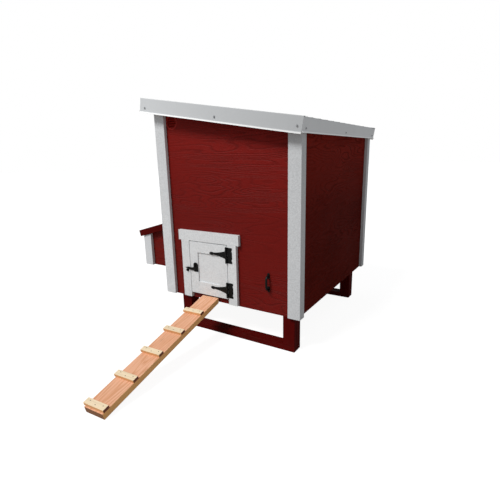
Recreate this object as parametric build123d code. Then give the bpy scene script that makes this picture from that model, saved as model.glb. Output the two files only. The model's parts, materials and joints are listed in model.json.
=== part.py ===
from build123d import *
import math
import os

# A small hen house on two skids: a lean-to cabin with a pop door and ramp in front,
# a nest box along its high left wall and a keeper's door behind.
# Millimetres. While the pieces are laid out, x runs along the front from the outer
# face of the left corner board, y runs back from the face of the front corner
# boards and z is the height above the corner boards' feet. At the end everything
# moves to the middle of the whole footprint, with z = 0 on the ground.

# ---- driving dimensions -------------------------------------------------------
HOUSE_WIDTH = 1120
HOUSE_DEPTH = 1406
GROUND_CLEARANCE = 246
FIT_GAP = 0.5                 # between pieces that are nailed or screwed together

TRIM_THICKNESS = 25
CORNER_BOARD_WIDTH = 86
CORNER_RETURN_WIDTH = 40
SIDING_THICKNESS = 12
SIDING_FOOT = -3

LUMBER_THIN = 38
LUMBER_WIDE = 89
LEG_WIDTH = 84
LEG_TOP = -3.5
SKID_LEFT = 135
SKID_RIGHT = 1072
SKID_FRONT_Y = 26
SKID_REAR_Y = 1148
FLOOR_DECK_THICKNESS = 12
JOIST_PITCH = 303

ROOF_SLOPE = 9.23             # degrees, falling to the right
ROOF_TOP = 1398               # top of the roof edge above the left corner
ROOF_LEFT = -68               # the roof's edges in its own sloping frame
ROOF_RIGHT = 1166
ROOF_FRONT = -47
ROOF_REAR = 1434
ROOF_DECK_THICKNESS = 12
ROOF_DECK_TOP = -5
SHEET_THICKNESS = 1
RIB_HEIGHT = 3
RIB_WIDTH = 22
RIB_PITCH = 112
RAKE_HEIGHT = 96
EAVE_HEIGHT = 82
FASCIA_KICK = 9               # the hem at the foot of the metal edge stands out
FLANGE_WIDTH = 55
FASCIA_BOARD_THICKNESS = 16
FASCIA_BOARD_FOOT = -74
RAFTER_DEPTH = 64

POP_DOOR_WIDTH = 325
POP_DOOR_HEIGHT = 383
POP_PIN_X = 576
DOOR_FOOT = 43
DOOR_THICKNESS = 24
DOOR_GAP = 4
DOOR_OVERLAP = 14             # how far a door laps the siding round its opening
STILE_WIDTH = 70
TOP_RAIL = 76
BOTTOM_RAIL = 90
PANEL_RECESS = 8
PANEL_THICKNESS = 8
JAMB_WIDTH = 71
JAMB_FOOT = 4
HEADER_HEIGHT = 73
HEADER_OVERHANG = 22
REAR_DOOR_WIDTH = 490
REAR_DOOR_HEIGHT = 740
REAR_PIN_X = 313
POP_HINGE_HEIGHTS = (66, 316)
REAR_HINGE_HEIGHTS = (110, 630)

PIN_RADIUS = 3.5
PIN_CLEARANCE = 0.05
BARREL_RADIUS = 7
HINGE_HEIGHT = 109
HINGE_PLATE = 2.5
LEAF_WIDTH = 46
STRAP_LENGTH = 147
STRAP_BASE = 54

LATCH_X = -273                # latch pivot from the hinge pins and the door's foot
LATCH_Z = 182
LATCH_BAR_THICKNESS = 5
REAR_LATCH_X = -437
REAR_LATCH_Z = 380

HANDLE_X = 886
HANDLE_Z = 209
HANDLE_HEIGHT = 90
HANDLE_REACH = 32

VENT_X = 137
VENT_Z = 1241
VENT_FLANGE_RADIUS = 49
VENT_HOLE_RADIUS = 43
VENT_SLATS = 5

NEST_FRONT_Y = 110
NEST_REAR_Y = 1296
NEST_OUTER_X = -328
NEST_FOOT = 152
NEST_BOARD_WIDTH = 78
NEST_BAYS = 3
NEST_OPENING_TOP = 440
LID_SLOPE = 15.86
LID_BACK_X = 10
LID_BACK_Z = 540
LID_LENGTH = 393
LID_OVERHANG = 10
LID_BOARD = 12
LID_HINGE_WIDTH = 64
LID_BARREL_RADIUS = 5
LID_PIN_RADIUS = 2.5

ROOST_HEIGHT = 540
ROOST_PLACES = (520, 900)

RAMP_CENTRE_X = 419.4
RAMP_END_Y = 4
RAMP_END_Z = 34.3
RAMP_WIDTH = 137
RAMP_LENGTH = 1080
RAMP_YAW = 2.9                # the ramp hangs loosely on hooks, a little askew
CLEAT_THICKNESS = 19
CLEAT_WIDTH = 38
CLEAT_LENGTH = 147
CLEAT_SHIFT = -3              # the cleats stand out a little more on the left
FIRST_CLEAT = 188
CLEAT_PITCH = 211.5
CLEATS = 5
HOOK_SPREAD = 40
ROD_RADIUS = 3
ROD_SETBACK = 11
ROD_Z = 20
HOOK_FOOT = 8

# ---- derived sizes ------------------------------------------------------------
slope = math.radians(ROOF_SLOPE)
siding_face = TRIM_THICKNESS
siding_back = TRIM_THICKNESS + SIDING_THICKNESS
right_face = HOUSE_WIDTH - siding_face
right_back = HOUSE_WIDTH - siding_back
rear_face = HOUSE_DEPTH - siding_face
rear_back = HOUSE_DEPTH - siding_back
floor_underside = LEG_TOP + LUMBER_THIN
floor_top = floor_underside + FLOOR_DECK_THICKNESS
skid_top = LUMBER_THIN - GROUND_CLEARANCE
deck_foot = ROOF_DECK_TOP - ROOF_DECK_THICKNESS
rafter_foot = deck_foot - RAFTER_DEPTH

nodes = {}


def block(x0, x1, y0, y1, z0, z1):
    """A plain box between two corners."""
    centre = Pos((x0 + x1) / 2, (y0 + y1) / 2, (z0 + z1) / 2)
    return centre * Box(x1 - x0, y1 - y0, z1 - z0)


def group(pieces):
    """Separate solids that share one node."""
    return Compound([solid for piece in pieces for solid in piece.solids()])


def under_roof(x, depth=deck_foot):
    """Height of a plane that lies parallel to the roof, at a given x."""
    return ROOF_TOP - x * math.tan(slope) + depth / math.cos(slope)


def on_roof(shape):
    """From the roof's own flat frame to its sloping place."""
    return Pos(0, 0, ROOF_TOP) * Rot(0, ROOF_SLOPE, 0) * shape


def prism_xz(points, y0, y1):
    """A polygon in x and z, carried from y0 to y1."""
    face = make_face(Polyline(*[(x, y0, z) for x, z in points], close=True))
    return extrude(face, amount=y1 - y0, dir=(0, 1, 0))


def board_to_roof(x0, x1, y0, y1, foot):
    """An upright board whose top is cut to the slope just under the roof deck."""
    points = [
        (x0, foot),
        (x1, foot),
        (x1, under_roof(x1) - FIT_GAP),
        (x0, under_roof(x0) - FIT_GAP),
    ]
    return prism_xz(points, y0, y1)


def upright_cylinder(radius, height, x=0, y=0, z=0):
    return Pos(x, y, z) * Cylinder(radius, height)


def across_y(radius, length, x=0, y=0, z=0):
    return Pos(x, y, z) * Rot(90, 0, 0) * Cylinder(radius, length)


# ---- skids, legs and floor ----------------------------------------------------
def make_base():
    for name, y in (("front", SKID_FRONT_Y), ("rear", SKID_REAR_Y)):
        y_end = y + LUMBER_WIDE
        nodes["skid_" + name] = block(
            SKID_LEFT, SKID_RIGHT, y, y_end, -GROUND_CLEARANCE, skid_top
        )
        nodes["legs_" + name] = group([
            block(SKID_LEFT, SKID_LEFT + LEG_WIDTH, y, y_end, skid_top, LEG_TOP),
            block(SKID_RIGHT - LEG_WIDTH, SKID_RIGHT, y, y_end, skid_top, LEG_TOP),
        ])
    left, right = siding_back, right_back
    front, rear = siding_back, rear_back
    inner_left, inner_right = left + LUMBER_THIN, right - LUMBER_THIN
    heights = (LEG_TOP, floor_underside)
    joists = [
        block(left, right, front, front + LUMBER_THIN, *heights),
        block(left, right, rear - LUMBER_THIN, rear, *heights),
        block(left, inner_left, front + LUMBER_THIN, rear - LUMBER_THIN, *heights),
        block(inner_right, right, front + LUMBER_THIN, rear - LUMBER_THIN, *heights),
    ]
    for count in (1, 2, 3):
        y = front + count * JOIST_PITCH
        joists.append(block(inner_left, inner_right, y, y + LUMBER_THIN, *heights))
    nodes["floor_joists"] = group(joists)
    nodes["floor_deck"] = block(left, right, front, rear, floor_underside, floor_top)


# ---- walls and their frame ----------------------------------------------------
def door_opening(pin_x, width, height, side, y0, y1):
    """The hole in the siding behind a door; side is +1 or -1 from the pins."""
    hinge_edge = pin_x - side * 1.5
    near = hinge_edge + side * DOOR_OVERLAP
    far = hinge_edge + side * (width - DOOR_OVERLAP)
    z0 = DOOR_FOOT + DOOR_OVERLAP
    z1 = DOOR_FOOT + height - DOOR_OVERLAP
    return block(min(near, far), max(near, far), y0, y1, z0, z1)


def nest_bay_limits():
    """Start and end of each nest bay along y."""
    start = NEST_FRONT_Y + siding_back
    end = NEST_REAR_Y - siding_back
    pitch = (end - start + SIDING_THICKNESS) / NEST_BAYS
    limits = []
    for bay in range(NEST_BAYS):
        bay_start = start + bay * pitch
        limits.append((bay_start, bay_start + pitch - SIDING_THICKNESS))
    return limits


def make_walls():
    vent_hole = across_y(VENT_HOLE_RADIUS, SIDING_THICKNESS * 3, VENT_X, 0, VENT_Z)
    front = board_to_roof(siding_face, right_face, siding_face, siding_back, SIDING_FOOT)
    front -= door_opening(POP_PIN_X, POP_DOOR_WIDTH, POP_DOOR_HEIGHT, -1, 0, siding_back + 1)
    front -= Pos(0, siding_back, 0) * vent_hole
    nodes["wall_front"] = front

    rear = board_to_roof(siding_face, right_face, rear_back, rear_face, SIDING_FOOT)
    rear -= door_opening(
        REAR_PIN_X, REAR_DOOR_WIDTH, REAR_DOOR_HEIGHT, 1, rear_back - 1, rear_face + 1
    )
    rear -= Pos(0, rear_back, 0) * vent_hole
    nodes["wall_rear"] = rear

    left_top = under_roof(siding_back) - FIT_GAP
    left = block(siding_face, siding_back, siding_back, rear_back, SIDING_FOOT, left_top)
    for y0, y1 in nest_bay_limits():
        left -= block(
            siding_face - 1, siding_back + 1, y0, y1,
            NEST_FOOT + SIDING_THICKNESS, NEST_OPENING_TOP
        )
    nodes["wall_left"] = left
    right_top = under_roof(right_face) - FIT_GAP
    nodes["wall_right"] = block(
        right_back, right_face, siding_back, rear_back, SIDING_FOOT, right_top
    )


def make_wall_frame():
    left_plate_top = math.floor(under_roof(siding_back + LUMBER_THIN, rafter_foot))
    right_plate_top = math.floor(under_roof(right_back, rafter_foot))
    posts = []
    plates = []
    for x, top in (
        (siding_back, left_plate_top),
        (right_back - LUMBER_THIN, right_plate_top),
    ):
        for y in (siding_back, rear_back - LUMBER_THIN):
            posts.append(block(
                x, x + LUMBER_THIN, y, y + LUMBER_THIN, floor_top, top - LUMBER_THIN
            ))
        plates.append(block(
            x, x + LUMBER_THIN, siding_back, rear_back, top - LUMBER_THIN, top
        ))
    nodes["corner_posts"] = group(posts)
    nodes["top_plates"] = group(plates)

    clearance = 2
    start = (siding_back + clearance - rafter_foot * math.sin(slope)) / math.cos(slope)
    end = (right_back - clearance - deck_foot * math.sin(slope)) / math.cos(slope)
    span = rear_back - siding_back - LUMBER_THIN
    rafters = []
    for count in range(4):
        y = siding_back + span * count / 3
        rafters.append(on_roof(block(start, end, y, y + LUMBER_THIN, rafter_foot, deck_foot)))
    nodes["rafters"] = group(rafters)


def make_corner_boards():
    right = HOUSE_WIDTH
    for name, y in (("front", 0), ("rear", HOUSE_DEPTH - TRIM_THICKNESS)):
        nodes["corner_boards_" + name] = group([
            board_to_roof(0, CORNER_BOARD_WIDTH, y, y + TRIM_THICKNESS, 0),
            board_to_roof(right - CORNER_BOARD_WIDTH, right, y, y + TRIM_THICKNESS, 0),
        ])
    returns = []
    for x in (0, right - TRIM_THICKNESS):
        for y in (TRIM_THICKNESS, HOUSE_DEPTH - TRIM_THICKNESS - CORNER_RETURN_WIDTH):
            returns.append(board_to_roof(x, x + TRIM_THICKNESS, y, y + CORNER_RETURN_WIDTH, 0))
    nodes["corner_returns"] = group(returns)


def make_vents():
    """Round louvres: a flange, a collar and slats that shed rain outwards."""
    inner = VENT_HOLE_RADIUS - 3
    flange = across_y(VENT_FLANGE_RADIUS, 2, 0, -1, 0)
    collar = across_y(VENT_HOLE_RADIUS - 0.5, SIDING_THICKNESS, 0, SIDING_THICKNESS / 2, 0)
    shell = flange + collar - across_y(inner, 60)
    pitch = 2 * inner / VENT_SLATS
    reach = across_y(inner + 1.2, 30)
    for count in range(VENT_SLATS):
        z = -inner + pitch * (count + 0.5)
        slat = Pos(0, 6, z) * Rot(58, 0, 0) * Box(2 * inner + 4, 15, 1.6)
        shell += slat & reach
    front = Pos(VENT_X, siding_face, VENT_Z) * shell
    rear = Pos(VENT_X, rear_face, VENT_Z) * Rot(0, 0, 180) * shell
    nodes["round_vents"] = group([front, rear])


# ---- roof ---------------------------------------------------------------------
def edge_section(top, foot):
    """Outline of a bent metal edge: flange, face and kicked-out hem.
    The face stands on the first axis at zero and the flange runs to plus."""
    t = SHEET_THICKNESS
    kick = FASCIA_KICK
    return [
        (0, top),
        (FLANGE_WIDTH, top),
        (FLANGE_WIDTH, top - t),
        (t, top - t),
        (t, foot + kick),
        (t - kick, foot),
        (-kick, foot + 0.8),
        (0, foot + kick + 0.8),
    ]


def metal_edge_y(x, side, top, y0, y1):
    """A metal edge that runs along y; side +1 puts the flange towards plus x."""
    points = [(x + side * u, y0, z) for u, z in edge_section(top, top - EAVE_HEIGHT)]
    return extrude(make_face(Polyline(*points, close=True)), amount=y1 - y0, dir=(0, 1, 0))


def metal_edge_x(y, side, top, x0, x1):
    """A metal edge that runs along x; side +1 puts the flange towards plus y."""
    points = [(x0, y + side * u, z) for u, z in edge_section(top, top - RAKE_HEIGHT)]
    return extrude(make_face(Polyline(*points, close=True)), amount=x1 - x0, dir=(1, 0, 0))


def make_roof():
    t = SHEET_THICKNESS
    inset = t + 1
    x0, x1 = ROOF_LEFT + inset, ROOF_RIGHT - inset
    y0, y1 = ROOF_FRONT + inset, ROOF_REAR - inset
    nodes["roof_deck"] = on_roof(block(x0, x1, y0, y1, deck_foot, ROOF_DECK_TOP))

    board = FASCIA_BOARD_THICKNESS
    heights = (FASCIA_BOARD_FOOT, deck_foot)
    nodes["fascia_boards"] = group([
        on_roof(block(x0, x1, y0, y0 + board, *heights)),
        on_roof(block(x0, x1, y1 - board, y1, *heights)),
        on_roof(block(x0, x0 + board, y0 + board, y1 - board, *heights)),
        on_roof(block(x1 - board, x1, y0 + board, y1 - board, *heights)),
    ])

    sheet_foot = ROOF_DECK_TOP + t
    sheet_top = sheet_foot + t
    sheet = block(x0 - 1, x1 + 1, y0, y1, sheet_foot, sheet_top)
    ribs = round((y1 - y0 - RIB_WIDTH) / RIB_PITCH)
    pitch = (y1 - y0 - RIB_WIDTH) / ribs
    for count in range(ribs + 1):
        centre = y0 + RIB_WIDTH / 2 + count * pitch
        half, crest = RIB_WIDTH / 2, RIB_WIDTH / 2 - RIB_HEIGHT
        points = [
            (x0 - 1, centre - half, sheet_top),
            (x0 - 1, centre + half, sheet_top),
            (x0 - 1, centre + crest, sheet_top + RIB_HEIGHT),
            (x0 - 1, centre - crest, sheet_top + RIB_HEIGHT),
        ]
        rib = extrude(make_face(Polyline(*points, close=True)), amount=x1 - x0 + 2, dir=(1, 0, 0))
        sheet += rib
    nodes["roof_sheet"] = on_roof(sheet)

    rake_top = sheet_top + RIB_HEIGHT + t
    eave_top = ROOF_DECK_TOP + t
    nodes["rake_trim_front"] = on_roof(metal_edge_x(ROOF_FRONT, 1, rake_top, ROOF_LEFT, ROOF_RIGHT))
    nodes["rake_trim_rear"] = on_roof(metal_edge_x(ROOF_REAR, -1, rake_top, ROOF_LEFT, ROOF_RIGHT))
    ends = (ROOF_FRONT + t + FIT_GAP, ROOF_REAR - t - FIT_GAP)
    nodes["eave_trim_high"] = on_roof(metal_edge_y(ROOF_LEFT, 1, eave_top, *ends))
    nodes["eave_trim_low"] = on_roof(metal_edge_y(ROOF_RIGHT, -1, eave_top, *ends))


def hex_screw():
    """Roofing screw: hexagon head on a domed washer, seen end-on along minus y."""
    washer = across_y(7, 1.6, 0, -0.8, 0)
    head = Pos(0, -3.6, 0) * Rot(90, 0, 0) * extrude(RegularPolygon(4.6, 6), amount=2, both=True)
    return washer + head


def make_roof_screws():
    """Three screws on each side, set by eye a little above the hem."""
    height = -62
    screws = []
    for share, (x, lift) in enumerate(((-22, 0), (573, 0), (1136, 8))):
        screws.append(Pos(x, ROOF_FRONT, height + lift) * hex_screw())
        screws.append(Pos(x, ROOF_REAR, height) * Rot(0, 0, 180) * hex_screw())
        y = ROOF_FRONT + 54 + share / 2 * (ROOF_REAR - ROOF_FRONT - 108)
        screws.append(Pos(ROOF_RIGHT, y, height) * Rot(0, 0, 90) * hex_screw())
        screws.append(Pos(ROOF_LEFT, y, height) * Rot(0, 0, -90) * hex_screw())
    nodes["roof_screws"] = group([on_roof(screw) for screw in screws])


# ---- doors --------------------------------------------------------------------
# A door is laid out from its hinge pins: x = 0 on the pins with the leaf towards
# minus x, y = 0 on the outer face and z = 0 at the leaf's foot.
def door_pieces(width, height):
    edge = 1.5
    free = edge - width
    inner_free = free + STILE_WIDTH
    inner_hinge = edge - STILE_WIDTH
    t = DOOR_THICKNESS
    stiles = [
        block(free, inner_free, 0, t, 0, height),
        block(inner_hinge, edge, 0, t, 0, height),
    ]
    rails = [
        block(inner_free, inner_hinge, 0, t, 0, BOTTOM_RAIL),
        block(inner_free, inner_hinge, 0, t, height - TOP_RAIL, height),
    ]
    panel = block(
        inner_free, inner_hinge, PANEL_RECESS, PANEL_RECESS + PANEL_THICKNESS,
        BOTTOM_RAIL, height - TOP_RAIL
    )
    return stiles, rails, panel


def casing_pieces(width, height):
    """Header and two jambs round a door."""
    hinge_inner = 1.5 + DOOR_GAP - 0.5
    free_inner = 1.5 - width - DOOR_GAP
    jamb_top = height + DOOR_GAP
    jamb_foot = JAMB_FOOT - DOOR_FOOT
    t = TRIM_THICKNESS
    jambs = [
        block(hinge_inner, hinge_inner + JAMB_WIDTH, 0, t, jamb_foot, jamb_top),
        block(free_inner - JAMB_WIDTH, free_inner, 0, t, jamb_foot, jamb_top),
    ]
    header = block(
        free_inner - JAMB_WIDTH - HEADER_OVERHANG,
        hinge_inner + JAMB_WIDTH + HEADER_OVERHANG,
        0, t, jamb_top, jamb_top + HEADER_HEIGHT
    )
    return header, jambs


def hinge_leaf():
    """Jamb side of a tee hinge: a waved plate with the outer two knuckles."""
    half = HINGE_HEIGHT / 2
    inner = STRAP_BASE / 2 + FIT_GAP
    web = BARREL_RADIUS + 1
    edge = [(web, half), (LEAF_WIDTH - 2, half), (LEAF_WIDTH, half - 11),
            (LEAF_WIDTH - 6, half - 21), (LEAF_WIDTH - 1, half - 36)]
    edge += [(x, -z) for x, z in reversed(edge)]
    shape = Rot(90, 0, 0) * extrude(make_face(Polyline(*edge, close=True)), amount=HINGE_PLATE)
    for sign in (-1, 1):
        low, high = sorted((sign * inner, sign * half))
        shape += block(0, web, -HINGE_PLATE, 0, low, high)
        shape += upright_cylinder(BARREL_RADIUS, high - low, 0, -BARREL_RADIUS, (low + high) / 2)
    return shape - upright_cylinder(PIN_RADIUS + PIN_CLEARANCE, HINGE_HEIGHT + 2, 0, -BARREL_RADIUS, 0)


def hinge_strap():
    """Door side of a tee hinge: middle knuckle and a tapering strap with a spear tip."""
    half = STRAP_BASE / 2
    neck_x, neck = -STRAP_LENGTH + 36, 7.5
    head_x, head = -STRAP_LENGTH + 21, 11
    tip = (-STRAP_LENGTH, 0)
    upper = [
        Line((0, half), (-14, half)),
        Spline(
            [(-14, half), (-38, 19), (-68, 12.5), (neck_x, neck)],
            tangents=[(-1, -0.6), (-1, -0.05)]
        ),
        Spline([(neck_x, neck), (head_x, head), tip], tangents=[(-1, 0.5), (-0.8, -1)]),
    ]
    outline = upper + [mirror(curve, about=Plane.XZ) for curve in upper]
    outline.append(Line((0, half), (0, -half)))
    strap = extrude(make_face(outline), amount=HINGE_PLATE)
    strap = Rot(90, 0, 0) * strap
    strap += upright_cylinder(BARREL_RADIUS, STRAP_BASE, 0, -BARREL_RADIUS, 0)
    return strap - upright_cylinder(PIN_RADIUS + PIN_CLEARANCE, STRAP_BASE + 2, 0, -BARREL_RADIUS, 0)


def hinge_pin():
    """Tee-hinge pin with a domed head."""
    pin = upright_cylinder(PIN_RADIUS, HINGE_HEIGHT, 0, -BARREL_RADIUS, 0)
    head_z = HINGE_HEIGHT / 2 + 1.25
    return pin + upright_cylinder(BARREL_RADIUS - 1.5, 2.5, 0, -BARREL_RADIUS, head_z)


# A latch is laid out from its pivot, with outwards towards minus y.
def latch_plate():
    """Round-topped plate with the pivot stud, whose head holds the bar on."""
    plate = block(-19, 19, -3, 0, -20, 27) + across_y(19, 3, 0, -1.5, 27)
    stud_length = 12
    plate += across_y(4, stud_length, 0, -stud_length / 2, 0)
    return plate + across_y(7, 2.5, 0, -stud_length + 0.75, 0)


def latch_bar():
    """Turning bar with a pointed tongue and a rounded thumb lobe above the pivot."""
    outline = Polyline(
        (-96, 3), (-70, 9), (-26, 9), (-17, 14), (-17, 32), (17, 32), (17, 12),
        (19, 6), (19, -10), (-38, -11), (-72, -5), close=True
    )
    flat = extrude(make_face(outline), amount=LATCH_BAR_THICKNESS)
    lobe = Pos(0, 32, 0) * extrude(Circle(17), amount=LATCH_BAR_THICKNESS)
    bar = Pos(0, -4, 0) * Rot(90, 0, 0) * (flat + lobe)
    ridge = Pos(0, -9 - 3, 31) * Box(7, 6, 30)
    return bar + ridge - across_y(4 + PIN_CLEARANCE, 40)


def latch_keeper():
    """Hook on the jamb: the tongue drops behind its lip when the bar is turned down."""
    plate = block(-88, -68, -3, 0, -27, -9)
    shelf = block(-84, -74, -14, -3, -17.5, -15)
    lip = block(-84, -74, -14, -11.5, -17.5, -8)
    return plate + shelf + lip


def place_door(prefix, place, width, height, hinge_heights, latch_at):
    stiles, rails, panel = door_pieces(width, height)
    straps = [place * Pos(0, 0, z) * hinge_strap() for z in hinge_heights]
    latch = place * Pos(latch_at[0], 0, latch_at[1])
    nodes[prefix + "_panel"] = place * panel
    nodes[prefix + "_stiles"] = group([place * piece for piece in stiles])
    nodes[prefix + "_rails"] = group([place * piece for piece in rails])
    nodes[prefix + "_straps"] = group(straps)
    nodes[prefix + "_latch_plate"] = latch * latch_plate()
    nodes[prefix + "_latch_bar"] = latch * latch_bar()
    fixed = {
        "leaves": [place * Pos(0, 0, z) * hinge_leaf() for z in hinge_heights],
        "pins": [place * Pos(0, 0, z) * hinge_pin() for z in hinge_heights],
        "keeper": latch * latch_keeper(),
    }
    return fixed


def make_doors():
    front = Pos(POP_PIN_X, 0, DOOR_FOOT)
    rear = Pos(REAR_PIN_X, HOUSE_DEPTH, DOOR_FOOT) * Rot(0, 0, 180)
    pop = place_door(
        "pop_door", front, POP_DOOR_WIDTH, POP_DOOR_HEIGHT,
        POP_HINGE_HEIGHTS, (LATCH_X, LATCH_Z)
    )
    back = place_door(
        "rear_door", rear, REAR_DOOR_WIDTH, REAR_DOOR_HEIGHT,
        REAR_HINGE_HEIGHTS, (REAR_LATCH_X, REAR_LATCH_Z)
    )
    header, jambs = casing_pieces(POP_DOOR_WIDTH, POP_DOOR_HEIGHT)
    nodes["pop_door_header"] = front * header
    nodes["pop_door_jambs"] = group([front * jamb for jamb in jambs])
    header, jambs = casing_pieces(REAR_DOOR_WIDTH, REAR_DOOR_HEIGHT)
    nodes["rear_door_casing"] = group([rear * piece for piece in [header] + jambs])
    nodes["tee_hinge_leaves"] = group(pop["leaves"] + back["leaves"])
    nodes["latch_keepers"] = group([pop["keeper"], back["keeper"]])
    return pop["pins"] + back["pins"]


def make_handle():
    """Cast pull handle: two round-ended feet and a bowed grip."""
    half = HANDLE_HEIGHT / 2
    reach = HANDLE_REACH
    foot = block(-9, 9, -4, 0, -14, 8) + across_y(9, 4, 0, -2, 8) + across_y(9, 4, 0, -2, -14)
    path = FilletPolyline(
        (0, 0, -half), (0, -reach, -half), (0, -reach, half), (0, 0, half), radius=20
    )
    grip = sweep(Plane((0, 0, -half), x_dir=(1, 0, 0), z_dir=(0, -1, 0)) * Ellipse(8, 6), path=path)
    top_foot = Pos(0, 0, half + 3) * foot
    low_foot = Pos(0, 0, -half + 3) * foot
    nodes["pull_handle"] = Pos(HANDLE_X, siding_face, HANDLE_Z) * (grip + top_foot + low_foot)


# ---- nest box -----------------------------------------------------------------
def nest_top(x):
    """Underside of the lid frame at a given x."""
    lid = math.radians(LID_SLOPE)
    thickness = (LID_BOARD + LUMBER_THIN) / math.cos(lid)
    return LID_BACK_Z + (x - LID_BACK_X) * math.tan(lid) - thickness


def nest_side(x0, x1, y0, y1, foot):
    points = [
        (x0, foot),
        (x1, foot),
        (x1, nest_top(x1) - 1),
        (x0, nest_top(x0) - 1),
    ]
    return prism_xz(points, y0, y1)


def on_lid(shape):
    return Pos(LID_BACK_X, 0, LID_BACK_Z) * Rot(0, -LID_SLOPE, 0) * shape


def lid_hinge_places():
    middle = (NEST_FRONT_Y + NEST_REAR_Y) / 2
    return (NEST_FRONT_Y + 160, middle, NEST_REAR_Y - 160)


def lid_axis():
    """The lid's hinge axis in x and z."""
    lid = math.radians(LID_SLOPE)
    along, above = 6, LID_BARREL_RADIUS + 0.5
    x = LID_BACK_X + along * math.cos(lid) - above * math.sin(lid)
    z = LID_BACK_Z + along * math.sin(lid) + above * math.cos(lid)
    return x, z


def make_nest_box():
    t = SIDING_THICKNESS
    trim = TRIM_THICKNESS
    face_outer = NEST_OUTER_X + trim
    front_face, rear_end = NEST_FRONT_Y + trim, NEST_REAR_Y - trim
    nodes["nest_ends"] = group([
        nest_side(face_outer, siding_face, front_face, front_face + t, NEST_FOOT),
        nest_side(face_outer, siding_face, rear_end - t, rear_end, NEST_FOOT),
    ])
    inner = (front_face + t, rear_end - t)
    nodes["nest_face"] = nest_side(face_outer, face_outer + t, *inner, NEST_FOOT)
    nodes["nest_floor"] = block(face_outer + t, siding_face, *inner, NEST_FOOT, NEST_FOOT + t)
    dividers = []
    for _, y in nest_bay_limits()[:-1]:
        dividers.append(nest_side(face_outer + t, siding_face, y, y + t, NEST_FOOT + t))
    nodes["nest_dividers"] = group(dividers)
    width = NEST_BOARD_WIDTH
    boards = []
    for y in (NEST_FRONT_Y, rear_end):
        boards.append(nest_side(NEST_OUTER_X, NEST_OUTER_X + width, y, y + trim, NEST_FOOT))
    for y in (front_face, rear_end - CORNER_RETURN_WIDTH):
        boards.append(nest_side(NEST_OUTER_X, face_outer, y, y + CORNER_RETURN_WIDTH, NEST_FOOT))
    nodes["nest_corner_boards"] = group(boards)


def make_nest_lid():
    y0, y1 = NEST_FRONT_Y - LID_OVERHANG, NEST_REAR_Y + LID_OVERHANG
    nodes["nest_lid_board"] = on_lid(block(-LID_LENGTH, 0, y0, y1, -LID_BOARD, 0))
    w = LUMBER_THIN
    heights = (-LID_BOARD - w, -LID_BOARD)
    nodes["nest_lid_frame"] = group([
        on_lid(block(-LID_LENGTH, 0, y0, y0 + w, *heights)),
        on_lid(block(-LID_LENGTH, 0, y1 - w, y1, *heights)),
        on_lid(block(-LID_LENGTH, w - LID_LENGTH, y0 + w, y1 - w, *heights)),
        on_lid(block(-w, 0, y0 + w, y1 - w, *heights)),
    ])


def make_lid_hinges():
    axis_x, axis_z = lid_axis()
    third = LID_HINGE_WIDTH / 3
    bore = across_y(LID_PIN_RADIUS + PIN_CLEARANCE, LID_HINGE_WIDTH + 4, axis_x, 0, axis_z)
    moving = across_y(LID_BARREL_RADIUS, third - 2 * FIT_GAP, axis_x, 0, axis_z)
    edge = third / 2 - FIT_GAP
    moving += on_lid(block(-36, -3, -LID_HINGE_WIDTH / 2, LID_HINGE_WIDTH / 2, 0, 2))
    moving += on_lid(block(-3, 6, -edge, edge, 0, 2))
    moving -= bore
    fixed = block(siding_face - 2, siding_face, -LID_HINGE_WIDTH / 2, LID_HINGE_WIDTH / 2,
                  axis_z + 7, axis_z + 40)
    for sign in (-1, 1):
        centre = sign * third
        low, high = centre - third / 2, centre + third / 2
        fixed += across_y(LID_BARREL_RADIUS, third, axis_x, centre, axis_z)
        fixed += block(siding_face - 2, siding_face, low, high, axis_z, axis_z + 8)
        fixed += block(axis_x, siding_face, low, high, axis_z, axis_z + 2)
    fixed -= bore
    pin = across_y(LID_PIN_RADIUS, LID_HINGE_WIDTH, axis_x, 0, axis_z)
    places = [Pos(0, y, 0) for y in lid_hinge_places()]
    nodes["nest_hinge_leaves"] = group([place * fixed for place in places])
    nodes["nest_lid_leaves"] = group([place * moving for place in places])
    return [place * pin for place in places]


# ---- inside -------------------------------------------------------------------
def make_roosts():
    w = LUMBER_THIN
    brackets = []
    bars = []
    for y in ROOST_PLACES:
        bars.append(block(siding_back + 3, right_back - 3, y - w / 2, y + w / 2,
                          ROOST_HEIGHT, ROOST_HEIGHT + w))
        for x in (siding_back, right_back - 19):
            brackets.append(block(x, x + 19, y - w, y + w, ROOST_HEIGHT - 56, ROOST_HEIGHT))
    nodes["roost_bars"] = group(bars)
    nodes["roost_brackets"] = group(brackets)


# ---- ramp ---------------------------------------------------------------------
def ramp_slope():
    """Angle at which the board's lower corner just meets the ground."""
    drop = RAMP_END_Z + GROUND_CLEARANCE
    reach = math.hypot(RAMP_LENGTH, LUMBER_THIN)
    return math.asin(drop / reach) - math.atan2(LUMBER_THIN, RAMP_LENGTH)


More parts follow.
